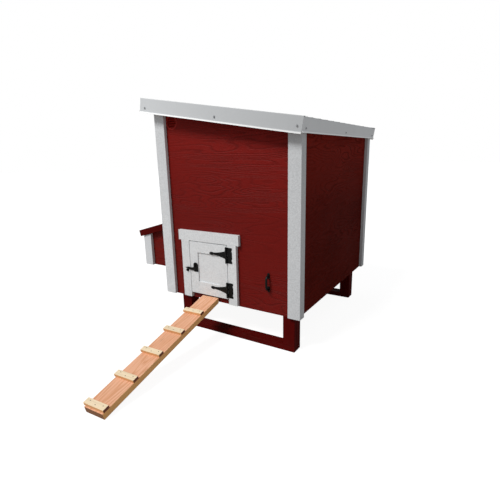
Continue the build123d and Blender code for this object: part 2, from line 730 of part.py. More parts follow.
def make_ramp():
    angle = ramp_slope()
    head = Pos(RAMP_CENTRE_X, RAMP_END_Y, RAMP_END_Z) * Rot(0, 0, RAMP_YAW)
    along = head * Rot(math.degrees(angle), 0, 0)
    half = RAMP_WIDTH / 2
    board = along * block(-half, half, -RAMP_LENGTH, 20, -LUMBER_THIN, 0)
    board -= head * block(-half - 5, half + 5, 0, 60, -80, 60)
    nodes["ramp_board"] = board

    cleats = []
    nails = []
    for count in range(CLEATS):
        y = -FIRST_CLEAT - count * CLEAT_PITCH
        cleats.append(along * block(
            CLEAT_SHIFT - CLEAT_LENGTH / 2, CLEAT_SHIFT + CLEAT_LENGTH / 2,
            y - CLEAT_WIDTH, y, 0, CLEAT_THICKNESS
        ))
        for column, shift in ((-48, 6), (0, -6), (48, 4)):
            nail = Cylinder(2.6, 0.9)
            nails.append(along * Pos(column, y - CLEAT_WIDTH / 2 + shift, CLEAT_THICKNESS + 0.45) * nail)
    nodes["ramp_cleats"] = group(cleats)
    nodes["ramp_nails"] = group(nails)

    rod_z = ROD_Z - RAMP_END_Z
    rod_length = 2 * HOOK_SPREAD + 44
    hanger = Pos(0, ROD_SETBACK, rod_z) * Rot(0, 90, 0) * Cylinder(ROD_RADIUS, rod_length)
    for side in (-1, 1):
        centre = side * (HOOK_SPREAD + 18)
        hanger += block(centre - 8, centre + 8, 0, 2.5, rod_z - 9, rod_z + 9)
        hanger += block(centre - 2, centre + 2, 0, ROD_SETBACK, rod_z - 5, rod_z + 5)
        hanger += Pos(centre, ROD_SETBACK, rod_z) * Rot(0, 90, 0) * Cylinder(5, 4)
    nodes["ramp_hanger"] = head * hanger

    slack = ROD_RADIUS + HOOK_SPREAD * math.sin(math.radians(RAMP_YAW)) + 0.7
    rod_y = RAMP_END_Y + ROD_SETBACK
    floor_z = ROD_Z - ROD_RADIUS - 0.5
    lip = 2
    hooks = []
    for side in (-1, 1):
        x = RAMP_CENTRE_X + side * HOOK_SPREAD
        hook = block(x - 9, x + 9, siding_face - 2.5, siding_face, HOOK_FOOT, ROD_Z + 9)
        hook += block(x - 5, x + 5, rod_y - slack - lip, siding_face, floor_z - 2.5, floor_z)
        hook += block(x - 5, x + 5, rod_y - slack - lip, rod_y - slack, floor_z - 2.5, ROD_Z + 3)
        hooks.append(hook)
    nodes["ramp_hooks"] = group(hooks)


# ---- everything together ------------------------------------------------------
make_base()
make_walls()
make_wall_frame()
make_corner_boards()
make_vents()
make_roof()
make_roof_screws()
tee_pins = make_doors()
make_handle()
make_nest_box()
make_nest_lid()
lid_pins = make_lid_hinges()
nodes["hinge_pins"] = group(tee_pins + lid_pins)
make_roosts()
make_ramp()

boxes = [shape.bounding_box() for shape in nodes.values()]
low_x = min(box.min.X for box in boxes)
high_x = max(box.max.X for box in boxes)
low_y = min(box.min.Y for box in boxes)
high_y = max(box.max.Y for box in boxes)
to_origin = Pos(-(low_x + high_x) / 2, -(low_y + high_y) / 2, GROUND_CLEARANCE)

if __name__ == "__main__":
    os.makedirs("parts", exist_ok=True)
    for name, shape in nodes.items():
        export_step(to_origin * shape, os.path.join("parts", name + ".step"))
    print(len(nodes), "nodes, origin shift", to_origin.position)
    print("whole size", high_x - low_x, high_y - low_y)
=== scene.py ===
import json
import math

import bmesh
import bpy
import numpy as np
from mathutils import Matrix, Vector


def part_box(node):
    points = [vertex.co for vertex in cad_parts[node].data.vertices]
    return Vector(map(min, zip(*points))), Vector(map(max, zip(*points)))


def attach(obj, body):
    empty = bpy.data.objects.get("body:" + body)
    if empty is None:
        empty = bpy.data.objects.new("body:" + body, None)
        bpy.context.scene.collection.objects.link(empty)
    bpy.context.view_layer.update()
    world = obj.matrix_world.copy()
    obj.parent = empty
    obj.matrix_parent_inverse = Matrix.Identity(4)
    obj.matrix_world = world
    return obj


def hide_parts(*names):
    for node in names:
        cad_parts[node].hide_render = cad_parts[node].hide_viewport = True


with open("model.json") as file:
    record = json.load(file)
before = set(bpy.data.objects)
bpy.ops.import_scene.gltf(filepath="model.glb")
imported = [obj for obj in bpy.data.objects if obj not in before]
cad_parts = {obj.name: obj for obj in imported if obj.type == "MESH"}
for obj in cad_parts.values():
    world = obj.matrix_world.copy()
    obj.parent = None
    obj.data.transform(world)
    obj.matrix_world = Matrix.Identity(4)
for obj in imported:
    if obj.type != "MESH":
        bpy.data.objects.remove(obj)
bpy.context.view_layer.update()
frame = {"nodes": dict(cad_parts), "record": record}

bl_info = {
    "name": "Hen House Dressing",
    "version": (1, 0, 0),
    "blender": (4, 5, 0),
    "location": "3D View > Sidebar > Hen House",
    "description": "Boards, sheet metal, ironwork and paint of a small hen house on skids",
    "category": "Object",
}

HOUSE_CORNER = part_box("corner_boards_front")[0]
BODIES = frame["record"]["behaviour"]["bodies"]
BODY_OF = {node: body for body, nodes in BODIES.items() for node in nodes}
ROOF_SLOPE = math.radians(9.23)
LID_SLOPE = math.radians(15.86)
HOUSE_WIDTH = 1.12
MM = 0.001
ACROSS_HOUSE, FRONT_TO_REAR, UPRIGHT = (1, 0, 0), (0, 1, 0), (0, 0, 1)

# Millimetres from the foot of the left front corner board: x to the right, y to the
# rear and z up. The roof's plane is tilted about the point ROOF_HEIGHT above it.
ROOF_HEIGHT = 1398
ROOF_FRONT, ROOF_REAR = -47, 1434
ROOF_HIGH_SIDE, ROOF_LOW_SIDE = -68, 1166
RAKE_TOP, RAKE_HEIGHT = 1, 96
EAVE_TOP, EAVE_HEIGHT, EAVE_INSET = -4, 82, 1.5
FIRST_RIB, RIB_STEP, LAST_SCREWED_RIB = -34, 111.92, 12
SHEET_SCREW_ROWS, SHEET_TOP = (60, 400, 740, 1080), 0.2

# Each door: its body, the name of its screws, its hinge pin's x, its face's y, 1 to the
# front or -1 to the rear, the heights of its hinges, and its latch's x and z.
DOORS = (
    ("pop_door", "pop", 576, 0, 1, (66, 316), (303, 225)),
    ("keeper_door", "keeper", 313, 1406, -1, (110, 630), (750, 423)),
)
DOOR_FOOT = 43
LEAF_HOLES = ((31, 38), (22, 0), (31, -38))
STRAP_HOLES = (-26, -66, -122)
LATCH_HOLES, LATCH_HOLES_DOWN = (-13, 13), 15.5
LEAF_FACE, LATCH_FACE = 2.5, 3
NEST_HINGES, NEST_HOLES = (270, 703, 1136), (-23, 0, 23)
NEST_WALL_SCREWS = (23, 572)
NEST_PIN, NEST_LID_SCREWS = (10, 540), (-22, 2)
HANDLE_PLACE, HANDLE_HOLES = (886, 21, 209), (60, -57)


# ---- sizes and colours a user may change ----
def colour(name, description, default):
    return bpy.props.FloatVectorProperty(
        name=name, description=description, default=default,
        subtype="COLOR", size=3, min=0, max=1,
    )


def length(name, description, default):
    return bpy.props.FloatProperty(
        name=name, description=description, default=default, unit="LENGTH", subtype="DISTANCE",
    )


def rotation(name, description, degrees):
    return bpy.props.FloatProperty(
        name=name, description=description, default=math.radians(degrees),
        unit="ROTATION", subtype="ANGLE",
    )


class HenHousePaint(bpy.types.PropertyGroup):
    """Colours of the finishes."""

    wall_red: colour("Wall red", "Embossed wall boards", (0.160, 0.0064, 0.0044))
    # Painted shade: the right wall takes this copy of the wall red, which its material darkens at
    # the foot and dulls to stand for the shade on that side.
    shaded_wall_red: colour("Side wall red", "Weathered right wall", (0.155, 0.012, 0.0075))
    timber_red: colour("Timber red", "Skids, legs and nest lid", (0.080, 0.0014, 0.0010))
    trim_white: colour("Trim white", "Corner boards", (0.67, 0.69, 0.715))
    door_white: colour("Door white", "Doors and casings", (0.715, 0.735, 0.757))
    edge_grey: colour("Roof edge grey", "Metal roof edges", (0.61, 0.632, 0.655))
    roof_grey: colour("Roof grey", "Ribbed roof sheet", (0.50, 0.52, 0.53))
    iron_black: colour("Iron black", "Hinges, latches and handle", (0.0035, 0.0038, 0.004))
    cedar: colour("Cedar", "Raw board of the ramp", (0.78, 0.44, 0.29))
    cedar_dark: colour("Cedar dark", "Ramp's late growth and knots", (0.60, 0.28, 0.14))
    # Partly painted light: the ramp's narrow edges are lighter and yellower than its faces, for
    # light on its shaded side as well as the edge grain's own tone.
    cedar_edge: colour("Cedar edge", "Ramp's narrow edges", (0.97, 0.52, 0.20))
    pine: colour("Pine", "Raw cleats", (0.84, 0.69, 0.48))
    # Partly painted shade: the cleats' narrow edges are darker and more orange than their tops,
    # for the shade on them as well as the edge grain's own tone.
    pine_edge: colour("Pine edge", "Narrow edges of the cleats", (0.76, 0.42, 0.19))
    # Partly painted shade: the cleats' end grain is much darker than their tops, for the shade on
    # their ends as well as the end grain's own darkness.
    pine_end: colour("Pine end", "Stained ends of the cleats", (0.26, 0.075, 0.045))
    steel: colour("Steel", "Heads of the nails in the ramp", (0.16, 0.155, 0.15))
    framing: colour("Framing", "Raw studs, rafters and joists", (0.62, 0.42, 0.22))
    plywood: colour("Plywood", "Raw sheets", (0.58, 0.40, 0.22))
    zinc: colour("Zinc", "Plated screws and the ramp's hanger", (0.52, 0.53, 0.55))


class HenHouseSizes(bpy.types.PropertyGroup):
    """Small sizes that the plain solids leave out."""

    board_edge: length("Board edge", "Rounding of sawn and painted edges", 0.0018)
    iron_edge: length("Iron edge", "Rounding of plate edges", 0.0004)
    emboss_depth: length("Emboss depth", "Depth of the pressed grain in the walls", 0.0040)
    sheet: length("Sheet", "Thickness of bent sheet metal", 0.0008)
    oil_canning: length("Oil canning", "Waviness of long metal faces", 0.0006)
    screw_radius: length("Screw radius", "Head radius of the wood screws", 0.0036)


class HenHouseStage(bpy.types.PropertyGroup):
    """Camera and light."""

    heading: rotation("Heading", "Turn of the camera to the left of straight on", 32.1)
    dip: rotation("Dip", "How far the camera looks down", 14.07)
    roll: rotation("Roll", "Tilt of the camera about its own line of sight", -1.264)
    lens: bpy.props.FloatProperty(
        name="Lens", description="Focal length", default=27.45, unit="CAMERA")
    stand: bpy.props.FloatVectorProperty(
        name="Stand", description="Camera from the foot of the left front corner board",
        default=(2.0344, -2.0253, 1.0172), size=3, unit="LENGTH", subtype="XYZ")
    sun: bpy.props.FloatProperty(
        name="Key light", description="Strength of the soft key light", default=2.6)
    sky: bpy.props.FloatProperty(
        name="Sky", description="Strength of the even light all round", default=0.34)


# ---- node trees ----
def feed(tree, socket, value):
    """Links value to the socket where it is a socket itself, and sets it otherwise."""
    if isinstance(value, bpy.types.NodeSocket):
        tree.links.new(value, socket)
    else:
        socket.default_value = value


def add(tree, kind, inputs=None, **settings):
    """Adds a node with its settings, and feeds its inputs."""
    made = tree.nodes.new(kind)
    for name, value in settings.items():
        setattr(made, name, value)
    for name, value in (inputs or {}).items():
        feed(tree, made.inputs[name], value)
    return made


def calc(tree, operation, first, second=0.0, third=0.0):
    """One Math node's output."""
    inputs = {0: first, 1: second, 2: third}
    return add(tree, "ShaderNodeMath", inputs, operation=operation).outputs[0]


def times(tree, first, second):
    return calc(tree, "MULTIPLY", first, second)


def stretch(tree, low, high, value, to_low=0.0, to_high=1.0):
    """value from low..high to to_low..to_high, held at its ends."""
    return add(tree, "ShaderNodeMapRange", {
        "Value": value, "From Min": low, "From Max": high,
        "To Min": to_low, "To Max": to_high,
    }).outputs["Result"]


# Colour sockets of a Mix node.
MIX_FIRST, MIX_SECOND, MIX_RESULT = 6, 7, 2


def mixed(tree, share, first, second):
    """Colour mix."""
    made = add(tree, "ShaderNodeMix", data_type="RGBA")
    feed(tree, made.inputs["Factor"], share)
    feed(tree, made.inputs[MIX_FIRST], first)
    feed(tree, made.inputs[MIX_SECOND], second)
    return made.outputs[MIX_RESULT]


def noise(tree, vector, scale, detail=2.0, roughness=0.5, distortion=0.0):
    """Soft noise between about 0 and 1."""
    return add(tree, "ShaderNodeTexNoise", {
        "Vector": vector, "Scale": scale, "Detail": detail,
        "Roughness": roughness, "Distortion": distortion,
    }).outputs[0]


def scaled(tree, vector, scale):
    """A vector with each of its parts multiplied."""
    inputs = {0: vector, 1: scale}
    return add(tree, "ShaderNodeVectorMath", inputs, operation="MULTIPLY").outputs[0]


def lit(tree, shade, level):
    """A colour multiplied by one level."""
    inputs = {0: shade, "Scale": level}
    return add(tree, "ShaderNodeVectorMath", inputs, operation="SCALE").outputs[0]


def new_group(name, place, inputs, outputs):
    """A shader node group with one vector input, then numbers with their defaults;
    returns the tree, its given values and its output node."""
    tree = bpy.data.node_groups.new(name, "ShaderNodeTree")
    tree.interface.new_socket(place, in_out="INPUT", socket_type="NodeSocketVector")
    for label, default in inputs.items():
        socket = tree.interface.new_socket(
            label, in_out="INPUT", socket_type="NodeSocketFloat")
        socket.default_value = default
    for label in outputs:
        tree.interface.new_socket(label, in_out="OUTPUT", socket_type="NodeSocketFloat")
    given = tree.nodes.new("NodeGroupInput").outputs
    return tree, given, tree.nodes.new("NodeGroupOutput")


FIGURE_DETAIL, FIGURE_ROUGHNESS, FIGURE_BEND = 1.6, 0.42, 0.25
FIBRE_DETAIL, FIBRE_ROUGHNESS = 3.0, 0.6


def make_figure_group():
    """Wood figure. Level lines of a slow noise that is drawn out along the grain make
    the arches and eyes of a sawn board; a second, much finer noise makes its fibres."""
    tree, given, out = new_group("wood_figure", "Grain", {
        "Along": 1.3, "Across": 11.0, "Rings": 9.0, "Fibre": 0.35, "Sharp": 1.6,
        "Short": 9.0, "Thin": 26.0, "Wander": 0.3}, ("Tone", "Relief"))
    grain, along, across = given["Grain"], given["Along"], given["Across"]
    size = add(tree, "ShaderNodeCombineXYZ", {"X": along, "Y": across, "Z": across}).outputs[0]
    slow = noise(tree, scaled(tree, grain, size), 1.0,
                 FIGURE_DETAIL, FIGURE_ROUGHNESS, FIGURE_BEND)
    turns = times(tree, slow, times(tree, given["Rings"], 2 * math.pi))
    wave = calc(tree, "MULTIPLY_ADD", calc(tree, "SINE", turns), 0.5, 0.5)
    late = calc(tree, "POWER", wave, given["Sharp"])
    thin = times(tree, across, given["Thin"])
    fine_size = add(tree, "ShaderNodeCombineXYZ", {
        "X": times(tree, along, given["Short"]), "Y": thin, "Z": thin,
    }).outputs[0]
    fibres = noise(tree, scaled(tree, grain, fine_size), 1.0,
                   FIBRE_DETAIL, FIBRE_ROUGHNESS, given["Wander"])
    share = given["Fibre"]
    kept = calc(tree, "SUBTRACT", 1.0, share)
    raised = times(tree, calc(tree, "SUBTRACT", 1.0, late), kept)
    relief = calc(tree, "MULTIPLY_ADD", fibres, share, raised)
    tree.links.new(late, out.inputs["Tone"])
    tree.links.new(relief, out.inputs["Relief"])
    return tree


BLOTCH_SIZE, BLOTCH_RANGE = 3.1, (0.35, 0.7)
SPLASH_SIZE, SPLASH_RANGE = 38.0, (0.42, 0.75)


def make_weather_group():
    """Weathering: blotches that fade the paint, and splashes that rise from the ground,
    strongest near the foot and broken up by noise."""
    tree, given, out = new_group(
        "weather", "Place", {"Foot": 0.0, "Reach": 0.5}, ("Blotch", "Splash"))
    place = given["Place"]
    blotch = stretch(tree, *BLOTCH_RANGE, noise(tree, place, BLOTCH_SIZE, 4.0, 0.6))
    height = add(tree, "ShaderNodeSeparateXYZ", {0: place}).outputs["Z"]
    over = calc(tree, "SUBTRACT", height, given["Foot"])
    share = calc(tree, "DIVIDE", over, given["Reach"])
    falling = stretch(tree, 0.0, 1.0, calc(tree, "SUBTRACT", 1.0, share))
    broken = noise(tree, place, SPLASH_SIZE, 5.0, 0.7)
    splash = times(tree, falling, stretch(tree, *SPLASH_RANGE, broken))
    tree.links.new(blotch, out.inputs["Blotch"])
    tree.links.new(splash, out.inputs["Splash"])
    return tree


def make_coat_group():
    """Fine even unevenness, such as orange peel in a coat of paint or powder."""
    tree, given, out = new_group("coat_texture", "Place", {"Size": 400.0}, ("Height",))
    fine = noise(tree, given["Place"], given["Size"], 2.0, 0.55)
    tree.links.new(fine, out.inputs["Height"])
    return tree


GROUP_MAKERS = {"wood_figure": make_figure_group, "weather": make_weather_group,
                "coat_texture": make_coat_group}
GROUPS = {}


def placed_group(tree, name, inputs):
    """A group's node; the group is built the first time it is asked for."""
    if name not in GROUPS:
        GROUPS[name] = GROUP_MAKERS[name]()
    made = tree.nodes.new("ShaderNodeGroup")
    made.node_tree = GROUPS[name]
    for label, value in inputs.items():
        feed(tree, made.inputs[label], value)
    return made


def start_material(name, roughness, metallic=0.0, specular=0.5):
    """Material with an emptied tree: returns it, its tree and its Principled node."""
    material = bpy.data.materials.new(name)
    material.use_nodes = True
    tree = material.node_tree
    tree.nodes.clear()
    shader = add(tree, "ShaderNodeBsdfPrincipled", {
        "Roughness": roughness, "Metallic": metallic, "Specular IOR Level": specular})
    end = tree.nodes.new("ShaderNodeOutputMaterial")
    tree.links.new(shader.outputs[0], end.inputs["Surface"])
    return material, tree, shader


def tinted(value, factor=1.0):
    """The same colour, lighter or darker, with alpha for a colour socket."""
    return tuple(min(1.0, channel * factor) for channel in value[:3]) + (1.0,)


def bump(tree, shader, height, depth):
    """Relief: height, from 0 to 1, stands up to depth metres high."""
    made = add(tree, "ShaderNodeBump", {"Height": height, "Distance": depth, "Strength": 1.0})
    tree.links.new(made.outputs[0], shader.inputs["Normal"])


def attribute(tree, name):
    """The node of one of the mesh's attributes."""
    return add(tree, "ShaderNodeAttribute", attribute_name=name)


def object_place(tree):
    """Place on the piece, in metres."""
    return add(tree, "ShaderNodeTexCoord").outputs["Object"]


def side_level(tree, place, levels):
    """A level that changes evenly from the house's left side to its right side."""
    start = HOUSE_CORNER.x
    across = add(tree, "ShaderNodeSeparateXYZ", {0: place}).outputs["X"]
    return stretch(tree, start, start + HOUSE_WIDTH, across, *levels)


# Plain and figured grain take turns over the board. Between two heights over the walls'
# foot the paint turns lighter upwards: partly sun fading, partly painted light.
PLAIN_SPREAD, PLAIN_RANGE, PLAIN_STRENGTH = (0.9, 3.2, 3.2), (0.38, 0.62), (0.3, 1.25)
RELIEF_MIDDLE, TONE_RANGE = 0.6, (0.1, 0.8)
FADE_AND_LIGHT_FOOT, FADE_AND_LIGHT_TOP = 0.6, 1.35
PEEL_SIZE, PEEL_RANGE, PEEL_SHARE = 150.0, (0.3, 0.7), 0.1
BLOTCH_SHARE, BLOTCH_TINT = 0.4, 0.88
SOIL = (0.10, 0.065, 0.045, 1.0)
GROOVE_ROUGHER, RIDGE_SMOOTHER = 0.12, 0.08


def painted_board(name, paint, foot, reach=0.5, along=1.2, across=12.0, rings=8.0,
                  depth=0.0016, fibre=0.35, groove=0.55, ridge=1.12, roughness=0.5,
                  specular=0.2, soil=0.3, sharp=1.6, short=9.0, thin=26.0, wander=0.3,
                  stipple=0.16, fade_and_painted_light=(1.0, 1.0), side=(1.0, 1.0)):
    """Painted wood: grain shows through as relief, with painted shade in the grooves and a
    painted highlight on the ridges, strong in some places and faint in others, faded in
    blotches and soiled near the ground. The lightness at the foot of the walls and under the
    roof is partly sun fading and partly painted light; the lightness at the house's left and
    right is painted light; stipple is the roughness left by the brush or roller."""
    material, tree, shader = start_material(name, roughness, specular=specular)
    place = object_place(tree)
    grain = attribute(tree, "grain").outputs["Vector"]
    figure = placed_group(tree, "wood_figure", {
        "Grain": grain, "Along": along, "Across": across, "Rings": rings, "Fibre": fibre,
        "Sharp": sharp, "Short": short, "Thin": thin, "Wander": wander})
    weather = placed_group(tree, "weather", {"Place": place, "Foot": foot, "Reach": reach})
    relief = figure.outputs["Relief"]
    plain = noise(tree, scaled(tree, grain, PLAIN_SPREAD), 1.0, 1.0)
    strength = stretch(tree, *PLAIN_RANGE, plain, *PLAIN_STRENGTH)
    over = calc(tree, "SUBTRACT", relief, RELIEF_MIDDLE)
    tone = calc(tree, "MULTIPLY_ADD", over, strength, RELIEF_MIDDLE)
    # Painted shade and highlight: the relief's tone darkens the paint in the grooves and lightens
    # it on the ridges.
    base = mixed(tree, stretch(tree, *TONE_RANGE, tone),
                 tinted(paint, groove), tinted(paint, ridge))
    height = add(tree, "ShaderNodeSeparateXYZ", {0: place}).outputs["Z"]
    # Partly sun fading, partly painted light: the paint lightens from near the walls' foot up to
    # under the roof.
    level = stretch(tree, foot + FADE_AND_LIGHT_FOOT, foot + FADE_AND_LIGHT_TOP, height, *fade_and_painted_light)
    # Painted light: the paint's lightness changes evenly from the house's left side to its right.
    level = times(tree, level, side_level(tree, place, side))
    peel = placed_group(tree, "coat_texture", {"Place": place, "Size": PEEL_SIZE})
    peel = peel.outputs["Height"]
    share = PEEL_SHARE * stipple
    level = times(tree, level, stretch(tree, *PEEL_RANGE, peel, 1.0 - share, 1.0 + share))
    base = lit(tree, base, level)
    faded = mixed(tree, times(tree, weather.outputs["Blotch"], BLOTCH_SHARE), base,
                  tinted(paint, BLOTCH_TINT))
    soiled = mixed(tree, times(tree, weather.outputs["Splash"], soil), faded, SOIL)
    tree.links.new(soiled, shader.inputs["Base Color"])
    rough = stretch(tree, 0.0, 1.0, relief,
                    roughness + GROOVE_ROUGHER, roughness - RIDGE_SMOOTHER)
    tree.links.new(rough, shader.inputs["Roughness"])
    bump(tree, shader, calc(tree, "MULTIPLY_ADD", peel, stipple, tone), depth)
    return material


# A spread is how often a noise changes along, across and through the board. Tints are
# against the wood's own colours.
PATCH_SPREAD, PATCH_RANGE, PATCH_SHARE, PATCH_TINT = (2.0, 9.0, 9.0), (0.3, 0.7), 0.35, 1.15
PORE_SPREAD, PORE_RANGE = (300.0, 600.0, 600.0), (0.4, 0.65)
LINE_SPREAD, LINE_RANGE, LINE_SHARE, LINE_TINT = (14.0, 900.0, 900.0), (0.45, 0.62), 0.16, 0.75
KNOT_SPREAD, KNOT_RANGE, KNOT_TINT = (5.0, 16.0, 16.0), (0.16, 0.10), 0.4
EARLY_TINT, SAWN_TINT, SAWN_PORES = 1.05, 0.5, 0.6
EDGE_SHARE, EDGE_LIGHT, EDGE_DARK, EDGE_LINES, EDGE_LINE_TINT = 0.5, 1.05, 0.8, 0.2, 0.7
NARROW_CUT, END_CUT = (0.2, 0.4), (0.6, 0.9)


def raw_board(name, early, late, along=1.5, across=22.0, rings=7.0, depth=0.0005,
              fibre=0.4, roughness=0.62, knots=0.0, sawn=None, narrow=None, contrast=1.0):
    """Bare wood: early and late growth in two colours, fibres, faint pores and knots.
    The attribute 'cut' is 1 on end grain, which is darker, and 0.5 on the board's
    narrow edges, which may be of another colour than its broad faces."""
    material, tree, shader = start_material(name, roughness, specular=0.2)
    grain = attribute(tree, "grain").outputs["Vector"]
    figure = placed_group(tree, "wood_figure", {
        "Grain": grain, "Along": along, "Across": across, "Rings": rings, "Fibre": fibre})
    tone = stretch(tree, 0.1, 1.0, figure.outputs["Tone"], 0.0, contrast)
    base = mixed(tree, tone, tinted(early, EARLY_TINT), tinted(late))
    patches = noise(tree, scaled(tree, grain, PATCH_SPREAD), 1.0, 3.0)
    patches = times(tree, stretch(tree, *PATCH_RANGE, patches), PATCH_SHARE)
    base = mixed(tree, patches, base, tinted(late, PATCH_TINT))
    lines = noise(tree, scaled(tree, grain, LINE_SPREAD), 1.0, 2.0)
    lines = stretch(tree, *LINE_RANGE, lines)
    base = mixed(tree, times(tree, lines, LINE_SHARE), base, tinted(late, LINE_TINT))
    if knots > 0:
        cells = add(tree, "ShaderNodeTexVoronoi", {
            "Vector": scaled(tree, grain, KNOT_SPREAD), "Scale": 1.0})
        knot = stretch(tree, *KNOT_RANGE, cells.outputs["Distance"])
        base = mixed(tree, times(tree, knot, knots), base, tinted(late, KNOT_TINT))
    pores = noise(tree, scaled(tree, grain, PORE_SPREAD), 1.0, 2.0)
    # For the cleats the end-grain colour is partly painted shade.
    sawn = sawn or tinted(late, SAWN_TINT)
    end_grain = mixed(tree, stretch(tree, *PORE_RANGE, pores),
                      tinted(sawn), tinted(sawn, SAWN_PORES))
    cut = attribute(tree, "cut").outputs["Fac"]
    # The narrow edges' colour: partly painted light on the ramp and partly painted shade on the
    # cleats.
    if narrow:
        edge = mixed(tree, times(tree, tone, EDGE_SHARE),
                     tinted(narrow, EDGE_LIGHT), tinted(narrow, EDGE_DARK))
        edge = mixed(tree, times(tree, lines, EDGE_LINES), edge,
                     tinted(narrow, EDGE_LINE_TINT))
        base = mixed(tree, stretch(tree, *NARROW_CUT, cut), base, edge)
    base = mixed(tree, stretch(tree, *END_CUT, cut), base, end_grain)
    tree.links.new(base, shader.inputs["Base Color"])
    bump(tree, shader, figure.outputs["Relief"], depth)
    return material


CLOUD_SIZE, CLOUD_RANGE, CLOUD_TINT = 5.5, (0.35, 0.68), 0.82
STREAK_SPREAD, STREAK_RANGE, STREAK_TINT, STREAK_SHARE = (60.0, 60.0, 3.0), (0.55, 0.75), 0.7, 0.6
# Painted highlight: the near-white colour and its share that brighten the bent hem.
HEM_HIGHLIGHT_COLOUR, HEM_HIGHLIGHT_SHARE = (0.93, 0.94, 0.95, 1.0), 0.9
CLEAN_SMOOTHER, CLOUD_ROUGHER = 0.06, 0.1


def coated_metal(name, paint, roughness, metallic=0.0, size=420.0, depth=0.00012,
                 dust=0.25, specular=0.5, chalk_and_painted_light=None):
    """Coated metal: an even skin with orange peel, clouded gloss and dust in patches; the
    levels given for the house's left and right make the coat lighter and darker there,
    partly as chalking and partly as painted light. Where the attribute 'hem' is 1 the coat
    is painted near-white as a painted highlight."""
    material, tree, shader = start_material(name, roughness, metallic, specular)
    place = object_place(tree)
    coat = placed_group(tree, "coat_texture", {"Place": place, "Size": size})
    clouds = stretch(tree, *CLOUD_RANGE, noise(tree, place, CLOUD_SIZE, 5.0, 0.62))
    base = mixed(tree, times(tree, clouds, dust), tinted(paint), tinted(paint, CLOUD_TINT))
    streaks = noise(tree, scaled(tree, place, STREAK_SPREAD), 1.0, 3.0)
    streaks = times(tree, stretch(tree, *STREAK_RANGE, streaks), dust * STREAK_SHARE)
    base = mixed(tree, streaks, base, tinted(paint, STREAK_TINT))
    # Painted highlight along the hem of the bent edges.
    hem_highlight = times(tree, attribute(tree, "hem").outputs["Fac"], HEM_HIGHLIGHT_SHARE)
    base = mixed(tree, hem_highlight, base, HEM_HIGHLIGHT_COLOUR)
    # Partly chalking, partly painted light: the coat is made lighter and darker from the house's
    # left to its right.
    if chalk_and_painted_light:
        base = lit(tree, base, side_level(tree, place, chalk_and_painted_light))
    tree.links.new(base, shader.inputs["Base Color"])
    rough = stretch(tree, 0.0, 1.0, clouds,
                    roughness - CLEAN_SMOOTHER, roughness + CLOUD_ROUGHER)
    tree.links.new(rough, shader.inputs["Roughness"])
    bump(tree, shader, coat.outputs["Height"], depth)
    return material


# Each finish's material by its key, made once.
MATERIALS = {}


